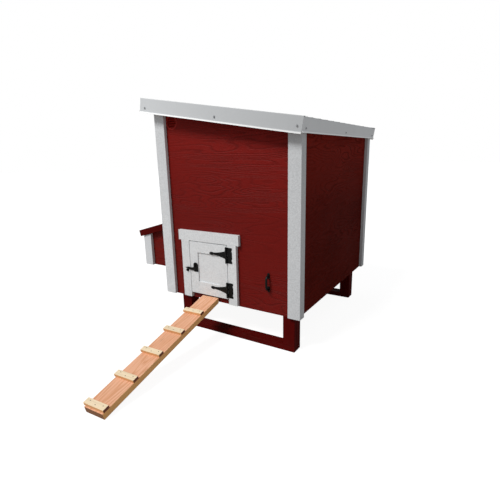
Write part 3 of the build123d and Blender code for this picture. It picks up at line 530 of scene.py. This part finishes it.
def material(key):
    """Each finish of the house, made the first time it is asked for."""
    if key in MATERIALS:
        return MATERIALS[key]
    paint = bpy.context.scene.hen_paint
    sizes = bpy.context.scene.hen_sizes
    foot = HOUSE_CORNER.z
    # Walls: the groove and ridge tints are painted shade and highlight of the pressed grain.
    walls = dict(foot=foot, along=1.3, across=10.0, rings=21.0, depth=sizes.emboss_depth,
                 fibre=0.66, groove=0.66, ridge=1.16, roughness=0.48, soil=0.08, sharp=4.0,
                 short=28.0, thin=8.5, wander=2.3)
    trims = dict(foot=foot, reach=0.35, along=1.6, across=30.0, rings=5.0, depth=0.0006,
                 fibre=0.6, groove=0.97, ridge=1.02, roughness=0.5, specular=0.3, soil=0.1,
                 stipple=1.3)
    timber = dict(foot=0.0, reach=0.16, along=1.4, across=26.0, rings=5.0, depth=0.0005,
                  groove=0.75, ridge=1.08, roughness=0.6, specular=0.05, soil=0.08)
    makers = {
        # Front and rear walls: lighter under the roof than at the foot, partly sun fading and
        # partly painted light.
        "wall_red": (painted_board, "wall_red_paint", paint.wall_red,
                     dict(walls, specular=0.11, fade_and_painted_light=(0.9, 1.45))),
        # The right wall's copy of the wall paint: painted shade, darker low down, almost without
        # gloss, and with stronger painted shade and highlight in its relief.
        "shaded_wall_red": (painted_board, "side_wall_red_paint", paint.shaded_wall_red,
                      dict(walls, groove=0.42, ridge=1.38, specular=0.004,
                           fade_and_painted_light=(0.52, 1.6))),
        # Corner boards: painted light, lighter at the house's left and darker at its right.
        "trim_white": (painted_board, "trim_white_paint", paint.trim_white,
                       dict(trims, side=(1.05, 0.85))),
        "door_white": (painted_board, "door_white_paint", paint.door_white, trims),
        "timber_red": (painted_board, "timber_red_paint", paint.timber_red, timber),
        # The ramp's narrow edges take a lighter, yellower colour: partly painted light.
        "cedar": (raw_board, "raw_cedar", paint.cedar, dict(
            late=paint.cedar_dark, along=1.2, across=15.0, rings=14.0, depth=0.0003,
            knots=0.3, narrow=paint.cedar_edge, contrast=0.75)),
        # Cleats: narrow edges and ends partly painted shade.
        "pine": (raw_board, "raw_pine", paint.pine, dict(
            late=tinted(paint.pine, 0.86), across=40.0, rings=4.0, depth=0.0003,
            sawn=paint.pine_end, narrow=paint.pine_edge)),
        "framing": (raw_board, "raw_framing", paint.framing, dict(
            late=tinted(paint.framing, 0.62), knots=0.7)),
        "plywood": (raw_board, "raw_plywood", paint.plywood, dict(
            late=tinted(paint.plywood, 0.7), along=1.0, across=5.0, rings=10.0)),
        # Rake edges: lighter at the house's left and darker at its right, partly chalking and
        # partly painted light.
        "edge_grey": (coated_metal, "roof_edge_coating", paint.edge_grey, dict(
            roughness=0.42, dust=0.12, chalk_and_painted_light=(1.12, 0.77))),
        # Eave edges: a copy of the edge grey, lighter at the low right side, partly chalking and
        # partly painted light.
        "eave_grey": (coated_metal, "roof_eave_coating", paint.edge_grey, dict(
            roughness=0.42, dust=0.12, chalk_and_painted_light=(0.95, 1.3))),
        "roof_grey": (coated_metal, "roof_sheet_coating", paint.roof_grey, dict(
            roughness=0.45, dust=0.45)),
        "iron_black": (coated_metal, "black_powder_coat", paint.iron_black, dict(
            roughness=0.42, size=900.0, depth=0.0002, dust=0.3, specular=0.22)),
        # Painted light: the vents take the wall red made twice as light, to stand for light on
        # them under the roof's shade.
        "vent_red": (coated_metal, "vent_red_paint", tinted(paint.wall_red, 2.0)[:3], dict(
            roughness=0.5, size=500.0, specular=0.2)),
        "zinc": (coated_metal, "zinc_plate", paint.zinc, dict(
            roughness=0.36, metallic=0.9, size=700.0, dust=0.5)),
        "steel": (coated_metal, "nail_steel", paint.steel, dict(
            roughness=0.5, metallic=0.5, size=700.0, dust=0.4)),
    }
    make, name, shade, settings = makers[key]
    MATERIALS[key] = make(name, shade, **settings)
    return MATERIALS[key]


# ---- meshes ----
def linked(name, data):
    """An object in the scene."""
    made = bpy.data.objects.new(name, data)
    bpy.context.scene.collection.objects.link(made)
    return made


def new_piece(name, vertices, faces, finish, body):
    """A smooth mesh object at the origin from an array of points and one of quads."""
    mesh = bpy.data.meshes.new(name)
    mesh.from_pydata(vertices.tolist(), [], faces.tolist())
    mesh.shade_smooth()
    mesh.materials.append(material(finish))
    mesh.update()
    piece = linked(name, mesh)
    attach(piece, body)
    return piece


def grid_faces(rows, columns):
    """Quads of a rows x columns grid of points whose last column meets its first."""
    r = np.arange(rows - 1)[:, None]
    c = np.arange(columns)[None, :]
    after = (c + 1) % columns
    quads = np.stack([r * columns + c, (r + 1) * columns + c, (r + 1) * columns + after,
                      r * columns + after], axis=-1)
    return quads.reshape(-1, 4)


SAME_PLACE, PLACE_DIGITS = 1e-6, 7


def close_up(mesh):
    """Merges the doubled points of poles and seams and turns the faces outwards."""
    whole = bmesh.new()
    whole.from_mesh(mesh)
    bmesh.ops.remove_doubles(whole, verts=whole.verts[:], dist=SAME_PLACE)
    bmesh.ops.recalc_face_normals(whole, faces=whole.faces[:])
    whole.to_mesh(mesh)
    whole.free()


def solids_of(mesh):
    """The closed solids of a node: triangles are read in order, and a solid ends where
    every edge met so far has been met twice."""
    count = len(mesh.vertices)
    places = np.empty(count * 3)
    mesh.vertices.foreach_get("co", places)
    places = places.reshape(-1, 3)
    mesh.calc_loop_triangles()
    corners = np.empty(len(mesh.loop_triangles) * 3, np.int64)
    mesh.loop_triangles.foreach_get("vertices", corners)
    _, first, shared = np.unique(
        np.round(places, PLACE_DIGITS), axis=0, return_index=True, return_inverse=True)
    triangles = shared.ravel()[corners].reshape(-1, 3)
    points = places[first]
    solids, current, open_edges = [], [], set()
    for a, b, c in triangles.tolist():
        current.append((a, b, c))
        for edge in ((a, b), (b, c), (c, a)):
            back = (edge[1], edge[0])
            if back in open_edges:
                open_edges.discard(back)
            else:
                open_edges.add(edge)
        if not open_edges:
            solids.append(np.array(current))
            current = []
    if current:
        solids.append(np.array(current))
    return points, solids


def grain_frame(points, along):
    """Three axes with the grain first: along is a direction, or None for a board, whose
    grain runs the way its corners spread the most."""
    if along is not None:
        first = np.array(along, float)
        helper = np.array(ACROSS_HOUSE if along == UPRIGHT else UPRIGHT, float)
        second = np.cross(helper, first)
        second /= np.linalg.norm(second)
        return np.stack([first, second, np.cross(first, second)])
    spread = points - points.mean(0)
    _, vectors = np.linalg.eigh(spread.T @ spread)
    return vectors.T[::-1]


GRAIN_SHIFT = 40.0
SQUARE_TO_GRAIN = 0.85
FLAT_ANGLE = math.radians(0.4)
END_GRAIN, NARROW_EDGE, BROAD_FACE = 1.0, 0.5, 0.0


def dress(node, finish, edge, along=None, smooth_angle=30):
    """A finished copy of one node: each solid is merged and its flat faces joined, its
    edges are rounded, and it carries the attribute 'grain': place along, across and
    through the board in metres, shifted by a different amount for every board. The face
    attribute 'cut' is 1 where a face cuts across the grain, 0.5 on the board's narrow
    edges and 0 on its broad faces."""
    points, solids = solids_of(frame["nodes"][node].data)
    rng = np.random.default_rng(sum(ord(letter) for letter in node))
    whole = bmesh.new()
    layer = whole.verts.layers.float_vector.new("grain")
    cut = whole.faces.layers.float.new("cut")
    for triangles in solids:
        used, local = np.unique(triangles, return_inverse=True)
        places = points[used]
        axes = grain_frame(places, along)
        shift = rng.uniform(0.0, GRAIN_SHIFT, 3)
        made = [whole.verts.new(place) for place in places.tolist()]
        for vertex, value in zip(made, (places @ axes.T + shift).tolist()):
            vertex[layer] = value
        faces = []
        for a, b, c in local.reshape(-1, 3).tolist():
            if len({a, b, c}) == 3:
                try:
                    face = whole.faces.new((made[a], made[b], made[c]))
                except ValueError:
                    continue
                face.normal_update()
                square = np.abs(axes @ np.array(face.normal)) > SQUARE_TO_GRAIN
                face[cut] = END_GRAIN if square[0] else NARROW_EDGE if square[1] else BROAD_FACE
                faces.append(face)
        edges = list(dict.fromkeys(one for face in faces for one in face.edges))
        bmesh.ops.dissolve_limit(whole, angle_limit=FLAT_ANGLE, verts=made, edges=edges,
                                 delimit=set())
    mesh = bpy.data.meshes.new(node + "_finished")
    whole.to_mesh(mesh)
    whole.free()
    mesh.shade_smooth()
    mesh.set_sharp_from_angle(angle=math.radians(smooth_angle))
    mesh.materials.append(material(finish))
    piece = linked(mesh.name, mesh)
    if edge > 0:
        rounding = piece.modifiers.new("rounded_edges", "BEVEL")
        rounding.width = edge
        rounding.segments = 2
        rounding.limit_method = "ANGLE"
        rounding.angle_limit = math.radians(smooth_angle)
        rounding.harden_normals = True
    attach(piece, BODY_OF[node])
    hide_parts(node)
    return piece


def repaint(node, finish):
    """Gives a carried-over node its finish."""
    mesh = frame["nodes"][node].data
    mesh.materials.clear()
    mesh.materials.append(material(finish))


# Shares of a screw head's radius and height.
HEAD_TURNS, HEAD_RINGS = 24, 9
DOME_FALL, HEAD_FOOT = 0.92, -0.25
ARM_WIDTH, ARM_EDGE = 0.13, 1.2
RECESS_REACH, RECESS_END, RECESS_DEPTH = 0.62, 0.12, 0.75
SPIN_STEP = 1.3
HEAD_SHARP = math.radians(50)


def screw_heads(name, places, out, radius, height, body, finish, cross=True):
    """Domed screw heads that all look along out. Over a disc in polar steps the height
    is a quarter-ellipse dome, less a cross-shaped recess that is deepest in the middle;
    the rim drops to the wood and the foot is closed by a flat disc."""
    angle = np.arange(HEAD_TURNS) * 2 * math.pi / HEAD_TURNS
    share = np.linspace(0.0, 1.0, HEAD_RINGS)
    reach, turn = np.meshgrid(share, angle, indexing="ij")
    x, y = reach * np.cos(turn), reach * np.sin(turn)
    dome = np.sqrt(np.clip(1 - reach**2 * DOME_FALL, 0, 1))
    arms = np.minimum(np.abs(x), np.abs(y)) / ARM_WIDTH
    inside = np.clip((RECESS_REACH - reach) / RECESS_END, 0, 1)
    recess = np.clip(ARM_EDGE - arms, 0, 1) * inside
    up = dome - (RECESS_DEPTH * recess if cross else 0)
    foot = np.full(HEAD_TURNS, HEAD_FOOT)
    middle = np.zeros(HEAD_TURNS)
    skirt = np.stack([x[-1], y[-1], foot], axis=-1)[None]
    pole = np.stack([middle, middle, foot], axis=-1)[None]
    local = np.concatenate([np.stack([x, y, up], axis=-1), skirt, pole], axis=0)
    local = (local * np.array([radius, radius, height])).reshape(-1, 3)
    faces = grid_faces(HEAD_RINGS + 2, HEAD_TURNS)
    turn_by = np.array(Vector(out).normalized().to_track_quat("Z", "Y").to_matrix())
    all_points, all_faces = [], []
    for count, place in enumerate(places):
        sine, cosine = math.sin(count * SPIN_STEP), math.cos(count * SPIN_STEP)
        spun = np.array([[cosine, -sine, 0], [sine, cosine, 0], [0, 0, 1]])
        all_points.append((local @ spun.T) @ turn_by.T + np.array(place))
        all_faces.append(faces + count * len(local))
    piece = new_piece(name, np.concatenate(all_points), np.concatenate(all_faces),
                      finish, body)
    close_up(piece.data)
    piece.data.set_sharp_from_angle(angle=HEAD_SHARP)
    return piece


def rounded_line(points, radius, steps=6):
    """A line whose inner corners are replaced by quadratic curves that start and end
    radius away from the corner."""
    points = np.array(points, float)
    share = np.linspace(0, 1, steps)[:, None]
    parts = [points[:1]]
    for before, corner, after in zip(points[:-2], points[1:-1], points[2:]):
        start = corner + (before - corner) * radius / np.linalg.norm(before - corner)
        end = corner + (after - corner) * radius / np.linalg.norm(after - corner)
        parts.append((1 - share) ** 2 * start + 2 * share * (1 - share) * corner + share**2 * end)
    return np.concatenate(parts + [points[-1:]])


# Millimetres of a bent edge's section, then its sines: length, start and strength.
FLANGE, BEND_RADIUS = 55, 3.0
HEM_OUT, HEM_TOP, HEM_FOOT, HEM_HIGHLIGHT_BAND = 9, 9.8, 0.8, 8.5
SWAYS, SWAY_SUM = ((118, 1.1, 1.0), (61, 2.3, 0.7), (29, 0.0, 0.4)), 2.1
HEM_FROM, HEM_LIFT, LIFT_SHIFT = 0.9, 6, 31
SWEEP_STEPS = 90
BEND_SHARP = math.radians(38)


def bent_edge(node, along_x, place, side, top, height, start, end, finish):
    """A bent sheet-metal edge in place of the plain one. Its section runs in from the
    flange over a rounded bend, down the face and out along the hem, and is given a
    thickness along its normals. The section is swept from start to end on the roof's
    slope, while three slow sines push the face in and out and lift the hem a little."""
    sizes = bpy.context.scene.hen_sizes
    foot = top - height
    outer = rounded_line(
        [(FLANGE, top), (0, top), (0, foot + HEM_TOP), (-HEM_OUT, foot + HEM_FOOT)],
        BEND_RADIUS)
    count = len(outer)
    ahead = np.gradient(outer, axis=0)
    ahead /= np.linalg.norm(ahead, axis=1)[:, None]
    inner = outer + np.stack([-ahead[:, 1], ahead[:, 0]], axis=-1) * sizes.sheet / MM
    section = np.concatenate([outer, inner[::-1]])
    reach = np.linspace(start, end, SWEEP_STEPS)
    sway = sum(strength * np.sin(reach / span + shift) for span, shift, strength in SWAYS)
    sway = sway / SWAY_SUM
    waviness = sizes.oil_canning / MM
    down = np.clip((top - section[:, 1]) / (height - HEM_OUT), 0, 1)
    bulge = np.sin(np.pi * down)[None, :] ** 2 * sway[:, None] * waviness
    hem = np.clip(down - HEM_FROM, 0, 1)[None, :]
    lift = hem * HEM_LIFT * np.roll(sway, LIFT_SHIFT)[:, None]
    across = place + side * (section[:, 0][None, :] - bulge)
    height_there = section[:, 1][None, :] + lift * waviness
    length_there = np.broadcast_to(reach[:, None], across.shape)
    x, y = (length_there, across) if along_x else (across, length_there)
    turned_x, turned_z = turned_y(x, height_there, ROOF_SLOPE)
    points = np.stack([turned_x, y, turned_z + ROOF_HEIGHT], axis=-1).reshape(-1, 3)
    points = points * MM + np.array(HOUSE_CORNER)
    faces = grid_faces(SWEEP_STEPS, 2 * count)
    step = np.arange(count - 1)
    cap = np.stack([step, step + 1, 2 * count - 2 - step, 2 * count - 1 - step], axis=-1)
    last = cap[:, ::-1] + (SWEEP_STEPS - 1) * 2 * count
    piece = new_piece(node + "_bent", points, np.concatenate([faces, cap, last]),
                      finish, "house")
    close_up(piece.data)
    piece.data.set_sharp_from_angle(angle=BEND_SHARP)
    # Points low on the hem carry the attribute 'hem', where the coat gets a painted highlight.
    rim = np.tile(section[:, 1] < foot + HEM_HIGHLIGHT_BAND, SWEEP_STEPS).astype(float)
    piece.data.attributes.new("hem", "FLOAT", "POINT").data.foreach_set("value", rim)
    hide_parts(node)
    return piece


def house_place(x, y, z):
    """Scene place of millimetres from the foot of the left front corner board."""
    return tuple(HOUSE_CORNER + Vector((x, y, z)) * MM)


def turned_y(x, z, angle):
    """x and z turned about the y axis."""
    return (x * math.cos(angle) + z * math.sin(angle), z * math.cos(angle) - x * math.sin(angle))


# ---- operators ----
# Roundings as shares of the board edge, two of their own in metres, and how far the
# screws stand out.
LEG_ROUNDING, RAMP_ROUNDING, CASING_ROUNDING = 1.6, 1.5, 0.8
THIN_ROUNDING, DOOR_ROUNDING = 0.5, 0.3
NAIL_EDGE, HANGER_EDGE = 0.0002, 0.0003
LATCH_RISE, HINGE_RISE, NEST_RISE, HANDLE_RISE = 0.0006, 0.0016, 0.0014, 0.0012
SHEET_SCREW, SHEET_RISE, SMALL_HEAD = 0.0065, 0.0035, 0.8


class HENHOUSE_OT_base(bpy.types.Operator):
    """Round the edges of the skids, legs, joists and floor, and paint or leave them raw"""

    bl_idname = "henhouse.base"
    bl_label = "Skids, legs and floor"

    def execute(self, context):
        edge = context.scene.hen_sizes.board_edge
        for node in ("skid_front", "skid_rear", "legs_front", "legs_rear"):
            dress(node, "timber_red", edge * LEG_ROUNDING)
        dress("floor_joists", "framing", edge)
        dress("floor_deck", "plywood", edge * THIN_ROUNDING)
        return {"FINISHED"}


class HENHOUSE_OT_walls(bpy.types.Operator):
    """Press the grain into the four walls and paint them barn red"""

    bl_idname = "henhouse.walls"
    bl_label = "Walls"

    def execute(self, context):
        edge = context.scene.hen_sizes.board_edge * THIN_ROUNDING
        for node in ("wall_front", "wall_rear"):
            dress(node, "wall_red", edge, along=ACROSS_HOUSE)
        dress("wall_left", "wall_red", edge, along=FRONT_TO_REAR)
        # The right wall takes the shaded copy of the wall red: painted shade.
        dress("wall_right", "shaded_wall_red", edge, along=FRONT_TO_REAR)
        # The vents take a lit copy of the wall red: painted light.
        repaint("round_vents", "vent_red")
        return {"FINISHED"}


class HENHOUSE_OT_frame(bpy.types.Operator):
    """Finish the raw timber inside: posts, plates, rafters, roosts and roof boards"""

    bl_idname = "henhouse.frame"
    bl_label = "Inner frame"

    def execute(self, context):
        edge = context.scene.hen_sizes.board_edge
        for node in ("corner_posts", "top_plates", "rafters", "roost_bars",
                     "roost_brackets", "fascia_boards"):
            dress(node, "framing", edge)
        dress("roof_deck", "plywood", edge * THIN_ROUNDING)
        return {"FINISHED"}


class HENHOUSE_OT_trims(bpy.types.Operator):
    """Round and paint the white corner boards"""

    bl_idname = "henhouse.trims"
    bl_label = "Corner boards"

    def execute(self, context):
        edge = context.scene.hen_sizes.board_edge
        for node in ("corner_boards_front", "corner_boards_rear", "corner_returns"):
            dress(node, "trim_white", edge, along=UPRIGHT)
        return {"FINISHED"}


class HENHOUSE_OT_roof(bpy.types.Operator):
    """Finish the roof sheet, its bent metal edges and their screws"""

    bl_idname = "henhouse.roof"
    bl_label = "Roof metal"

    def execute(self, context):
        for node, place, side in (("rake_trim_front", ROOF_FRONT, 1),
                                  ("rake_trim_rear", ROOF_REAR, -1)):
            bent_edge(node, True, place, side, RAKE_TOP, RAKE_HEIGHT,
                      ROOF_HIGH_SIDE, ROOF_LOW_SIDE, "edge_grey")
        for node, place, side in (("eave_trim_high", ROOF_HIGH_SIDE, 1),
                                  ("eave_trim_low", ROOF_LOW_SIDE, -1)):
            bent_edge(node, False, place, side, EAVE_TOP, EAVE_HEIGHT,
                      ROOF_FRONT + EAVE_INSET, ROOF_REAR - EAVE_INSET, "eave_grey")
        repaint("roof_sheet", "roof_grey")
        repaint("roof_screws", "zinc")
        places = []
        for rib in range(1, LAST_SCREWED_RIB + 1):
            for reach in SHEET_SCREW_ROWS:
                x, z = turned_y(reach, SHEET_TOP, ROOF_SLOPE)
                places.append(house_place(x, FIRST_RIB + rib * RIB_STEP, ROOF_HEIGHT + z))
        up = (math.sin(ROOF_SLOPE), 0, math.cos(ROOF_SLOPE))
        screw_heads("roof_sheet_screws", places, up, SHEET_SCREW, SHEET_RISE, "house",
                    "zinc", cross=False)
        return {"FINISHED"}


class HENHOUSE_OT_doors(bpy.types.Operator):
    """Finish the pop door and the keeper's door with their casings"""

    bl_idname = "henhouse.doors"
    bl_label = "Doors and casings"

    def execute(self, context):
        edge = context.scene.hen_sizes.board_edge
        for door in ("pop_door", "rear_door"):
            for part in ("_stiles", "_rails"):
                dress(door + part, "door_white", edge * DOOR_ROUNDING)
            dress(door + "_panel", "door_white", 0, along=UPRIGHT)
        for node in ("pop_door_header", "pop_door_jambs", "rear_door_casing"):
            dress(node, "door_white", edge * CASING_ROUNDING)
        return {"FINISHED"}


class HENHOUSE_OT_ironwork(bpy.types.Operator):
    """Ease the edges of hinges, latches and handle and coat them black"""

    bl_idname = "henhouse.ironwork"
    bl_label = "Black ironwork"

    def execute(self, context):
        edge = context.scene.hen_sizes.iron_edge
        for node in ("pop_door_straps", "rear_door_straps", "pop_door_latch_plate",
                     "rear_door_latch_plate", "pop_door_latch_bar", "rear_door_latch_bar",
                     "tee_hinge_leaves", "latch_keepers", "nest_hinge_leaves", "nest_lid_leaves",
                     "hinge_pins", "pull_handle", "ramp_hooks"):
            dress(node, "iron_black", edge, smooth_angle=40)
        self.screws(context.scene.hen_sizes.screw_radius)
        return {"FINISHED"}

    def screws(self, radius):
        """Wood screws in every leaf, strap, latch plate and handle foot."""
        for body, short, pin, face, side, heights, (latch_x, latch_z) in DOORS:
            leaf_face, latch_face = face - side * LEAF_FACE, face - side * LATCH_FACE
            rows = [DOOR_FOOT + height for height in heights]
            leaf = [house_place(pin + side * across, leaf_face, row + up)
                    for row in rows for across, up in LEAF_HOLES]
            strap = [house_place(pin + side * across, leaf_face, row)
                     for row in rows for across in STRAP_HOLES]
            plate = [house_place(latch_x + across, latch_face, latch_z - LATCH_HOLES_DOWN)
                     for across in LATCH_HOLES]
            for part, places, size, rise, rides in (
                    ("_latch", plate, radius * SMALL_HEAD, LATCH_RISE, body),
                    ("_leaf", leaf, radius, HINGE_RISE, "house"),
                    ("_strap", strap, radius, HINGE_RISE, body)):
                screw_heads(short + part + "_screws", places, (0, -side, 0), size, rise,
                            rides, "iron_black")
        lid_x, lid_z = turned_y(*NEST_LID_SCREWS, -LID_SLOPE)
        out_x, out_z = turned_y(0, 1, -LID_SLOPE)
        wall_x, wall_z = NEST_WALL_SCREWS
        pin_x, pin_z = NEST_PIN
        places = [middle + apart for middle in NEST_HINGES for apart in NEST_HOLES]
        wall = [house_place(wall_x, y, wall_z) for y in places]
        lid = [house_place(pin_x + lid_x, y, pin_z + lid_z) for y in places]
        x, y, z = HANDLE_PLACE
        feet = [house_place(x, y, z + up) for up in HANDLE_HOLES]
        for name, places, out, size, rise, rides in (
                ("nest_leaf", wall, (-1, 0, 0), radius, NEST_RISE, "house"),
                ("nest_lid", lid, (out_x, 0, out_z), radius, NEST_RISE, "nest_lid"),
                ("handle", feet, (0, -1, 0), radius * SMALL_HEAD, HANDLE_RISE, "house")):
            screw_heads(name + "_screws", places, out, size, rise, rides, "iron_black")


class HENHOUSE_OT_nest_box(bpy.types.Operator):
    """Finish the nest box and its lifting lid"""

    bl_idname = "henhouse.nest_box"
    bl_label = "Nest box"

    def execute(self, context):
        edge = context.scene.hen_sizes.board_edge
        thin = edge * THIN_ROUNDING
        dress("nest_ends", "wall_red", thin, along=ACROSS_HOUSE)
        dress("nest_face", "wall_red", thin, along=FRONT_TO_REAR)
        dress("nest_floor", "plywood", thin, along=FRONT_TO_REAR)
        dress("nest_dividers", "plywood", thin, along=ACROSS_HOUSE)
        dress("nest_corner_boards", "trim_white", edge, along=UPRIGHT)
        dress("nest_lid_board", "timber_red", edge, along=FRONT_TO_REAR)
        dress("nest_lid_frame", "timber_red", edge)
        return {"FINISHED"}


class HENHOUSE_OT_ramp(bpy.types.Operator):
    """Finish the ramp's board, cleats, nails and hanger"""

    bl_idname = "henhouse.ramp"
    bl_label = "Ramp"

    def execute(self, context):
        edge = context.scene.hen_sizes.board_edge
        dress("ramp_board", "cedar", edge * RAMP_ROUNDING)
        dress("ramp_cleats", "pine", edge)
        dress("ramp_nails", "steel", NAIL_EDGE, smooth_angle=50)
        dress("ramp_hanger", "zinc", HANGER_EDGE, smooth_angle=40)
        return {"FINISHED"}


FLOOR_RINGS, FLOOR_TURNS, FLOOR_DROP = (0.0, 4.0, 12.0, 40.0), 48, -0.0005
FLOOR_SEEN, FLOOR_GLOW = (0.42, 0.41, 0.40, 1), 0.92
FLOOR_PALE, FLOOR_PALER = (0.20, 0.20, 0.20, 1), (0.22, 0.22, 0.22, 1)
KEY_TRAVEL = (0.22, 0.50, -0.66)
SKY_TINT, WHITE = (0.97, 0.985, 1.0, 1), (1.0, 1.0, 1.0, 1)


class HENHOUSE_OT_stage(bpy.types.Operator):
    """Pale floor, soft light and the camera"""

    bl_idname = "henhouse.stage"
    bl_label = "Stage"

    def execute(self, context):
        self.floor()
        self.light(context.scene, context.scene.hen_stage)
        self.camera(context.scene, context.scene.hen_stage)
        return {"FINISHED"}

    def floor(self):
        """A flat disc whose rings widen outwards."""
        turn = np.arange(FLOOR_TURNS) * 2 * math.pi / FLOOR_TURNS
        reach, angle = np.meshgrid(np.array(FLOOR_RINGS), turn, indexing="ij")
        points = np.stack([reach * np.cos(angle), reach * np.sin(angle),
                           np.full_like(reach, FLOOR_DROP)], axis=-1)
        faces = grid_faces(len(FLOOR_RINGS), FLOOR_TURNS)
        mesh = bpy.data.meshes.new("studio_floor")
        mesh.from_pydata(points.reshape(-1, 3).tolist(), [], faces.tolist())
        material, tree, shader = start_material("studio_floor_white", 0.9, specular=0.1)
        seen = add(tree, "ShaderNodeLightPath").outputs["Is Camera Ray"]
        cloud = noise(tree, object_place(tree), 0.8, 2.0)
        pale = mixed(tree, stretch(tree, 0.3, 0.7, cloud), FLOOR_PALE, FLOOR_PALER)
        tree.links.new(mixed(tree, seen, FLOOR_SEEN, pale), shader.inputs["Base Color"])
        shader.inputs["Emission Color"].default_value = WHITE
        tree.links.new(times(tree, seen, FLOOR_GLOW), shader.inputs["Emission Strength"])
        mesh.materials.append(material)
        linked("studio_floor", mesh)

    def light(self, scene, stage):
        """A wide soft key from the front left and an even sky."""
        key = bpy.data.lights.new("key_light", "SUN")
        key.energy = stage.sun
        key.angle = math.radians(20)
        key.color = (1.0, 0.985, 0.96)
        holder = linked("key_light", key)
        holder.rotation_mode = "QUATERNION"
        holder.rotation_quaternion = Vector(KEY_TRAVEL).to_track_quat("-Z", "Y")
        world = bpy.data.worlds.new("studio_sky")
        world.use_nodes = True
        tree = world.node_tree
        tree.nodes.clear()
        seen = add(tree, "ShaderNodeLightPath").outputs["Is Camera Ray"]
        strength = stretch(tree, 0.0, 1.0, seen, stage.sky, 1.0)
        tint = mixed(tree, seen, SKY_TINT, WHITE)
        sky = add(tree, "ShaderNodeBackground", {"Color": tint, "Strength": strength})
        end = tree.nodes.new("ShaderNodeOutputWorld")
        tree.links.new(sky.outputs[0], end.inputs["Surface"])
        scene.world = world
        scene.view_settings.view_transform = "Standard"

    def camera(self, scene, stage):
        """Line of sight from heading and dip; roll turns the picture about it."""
        turn, dip, roll = -stage.heading, stage.dip, stage.roll
        level = math.cos(dip)
        sight = Vector((math.sin(turn) * level, math.cos(turn) * level, -math.sin(dip)))
        right = sight.cross(Vector((0, 0, 1))).normalized()
        up = right.cross(sight)
        x_axis = right * math.cos(roll) + up * math.sin(roll)
        y_axis = up * math.cos(roll) - right * math.sin(roll)
        lens = bpy.data.cameras.new("view_camera")
        lens.lens = stage.lens
        lens.sensor_width, lens.clip_start, lens.clip_end = 36.0, 0.05, 200.0
        camera = linked("view_camera", lens)
        turned = Matrix((x_axis, y_axis, -sight)).transposed().to_4x4()
        camera.matrix_world = Matrix.Translation(HOUSE_CORNER + Vector(stage.stand)) @ turned
        scene.camera = camera


class HENHOUSE_PT_panel(bpy.types.Panel):
    """Lists the steps that dress the hen house"""

    bl_idname = "HENHOUSE_PT_panel"
    bl_label = "Hen House"
    bl_space_type = "VIEW_3D"
    bl_region_type = "UI"
    bl_category = "Hen House"

    def draw(self, context):
        for group_name in ("hen_paint", "hen_sizes", "hen_stage"):
            box = self.layout.box()
            values = getattr(context.scene, group_name)
            for name in values.__annotations__:
                box.prop(values, name)
        for operator in OPERATORS:
            self.layout.operator(operator.bl_idname)


OPERATORS = (
    HENHOUSE_OT_base, HENHOUSE_OT_walls, HENHOUSE_OT_frame, HENHOUSE_OT_trims,
    HENHOUSE_OT_roof, HENHOUSE_OT_doors, HENHOUSE_OT_ironwork, HENHOUSE_OT_nest_box,
    HENHOUSE_OT_ramp, HENHOUSE_OT_stage,
)
GROUPS_OF_VALUES = (
    ("hen_paint", HenHousePaint),
    ("hen_sizes", HenHouseSizes),
    ("hen_stage", HenHouseStage),
)


def register():
    for name, values in GROUPS_OF_VALUES:
        bpy.utils.register_class(values)
        setattr(bpy.types.Scene, name, bpy.props.PointerProperty(type=values))
    for operator in OPERATORS:
        bpy.utils.register_class(operator)
    bpy.utils.register_class(HENHOUSE_PT_panel)


def unregister():
    bpy.utils.unregister_class(HENHOUSE_PT_panel)
    for operator in reversed(OPERATORS):
        bpy.utils.unregister_class(operator)
    for name, values in reversed(GROUPS_OF_VALUES):
        delattr(bpy.types.Scene, name)
        bpy.utils.unregister_class(values)


def main():
    """Dresses the house piece by piece."""
    register()
    for operator in OPERATORS:
        family, action = operator.bl_idname.split(".")
        getattr(getattr(bpy.ops, family), action)()


if __name__ == "__main__":
    main()
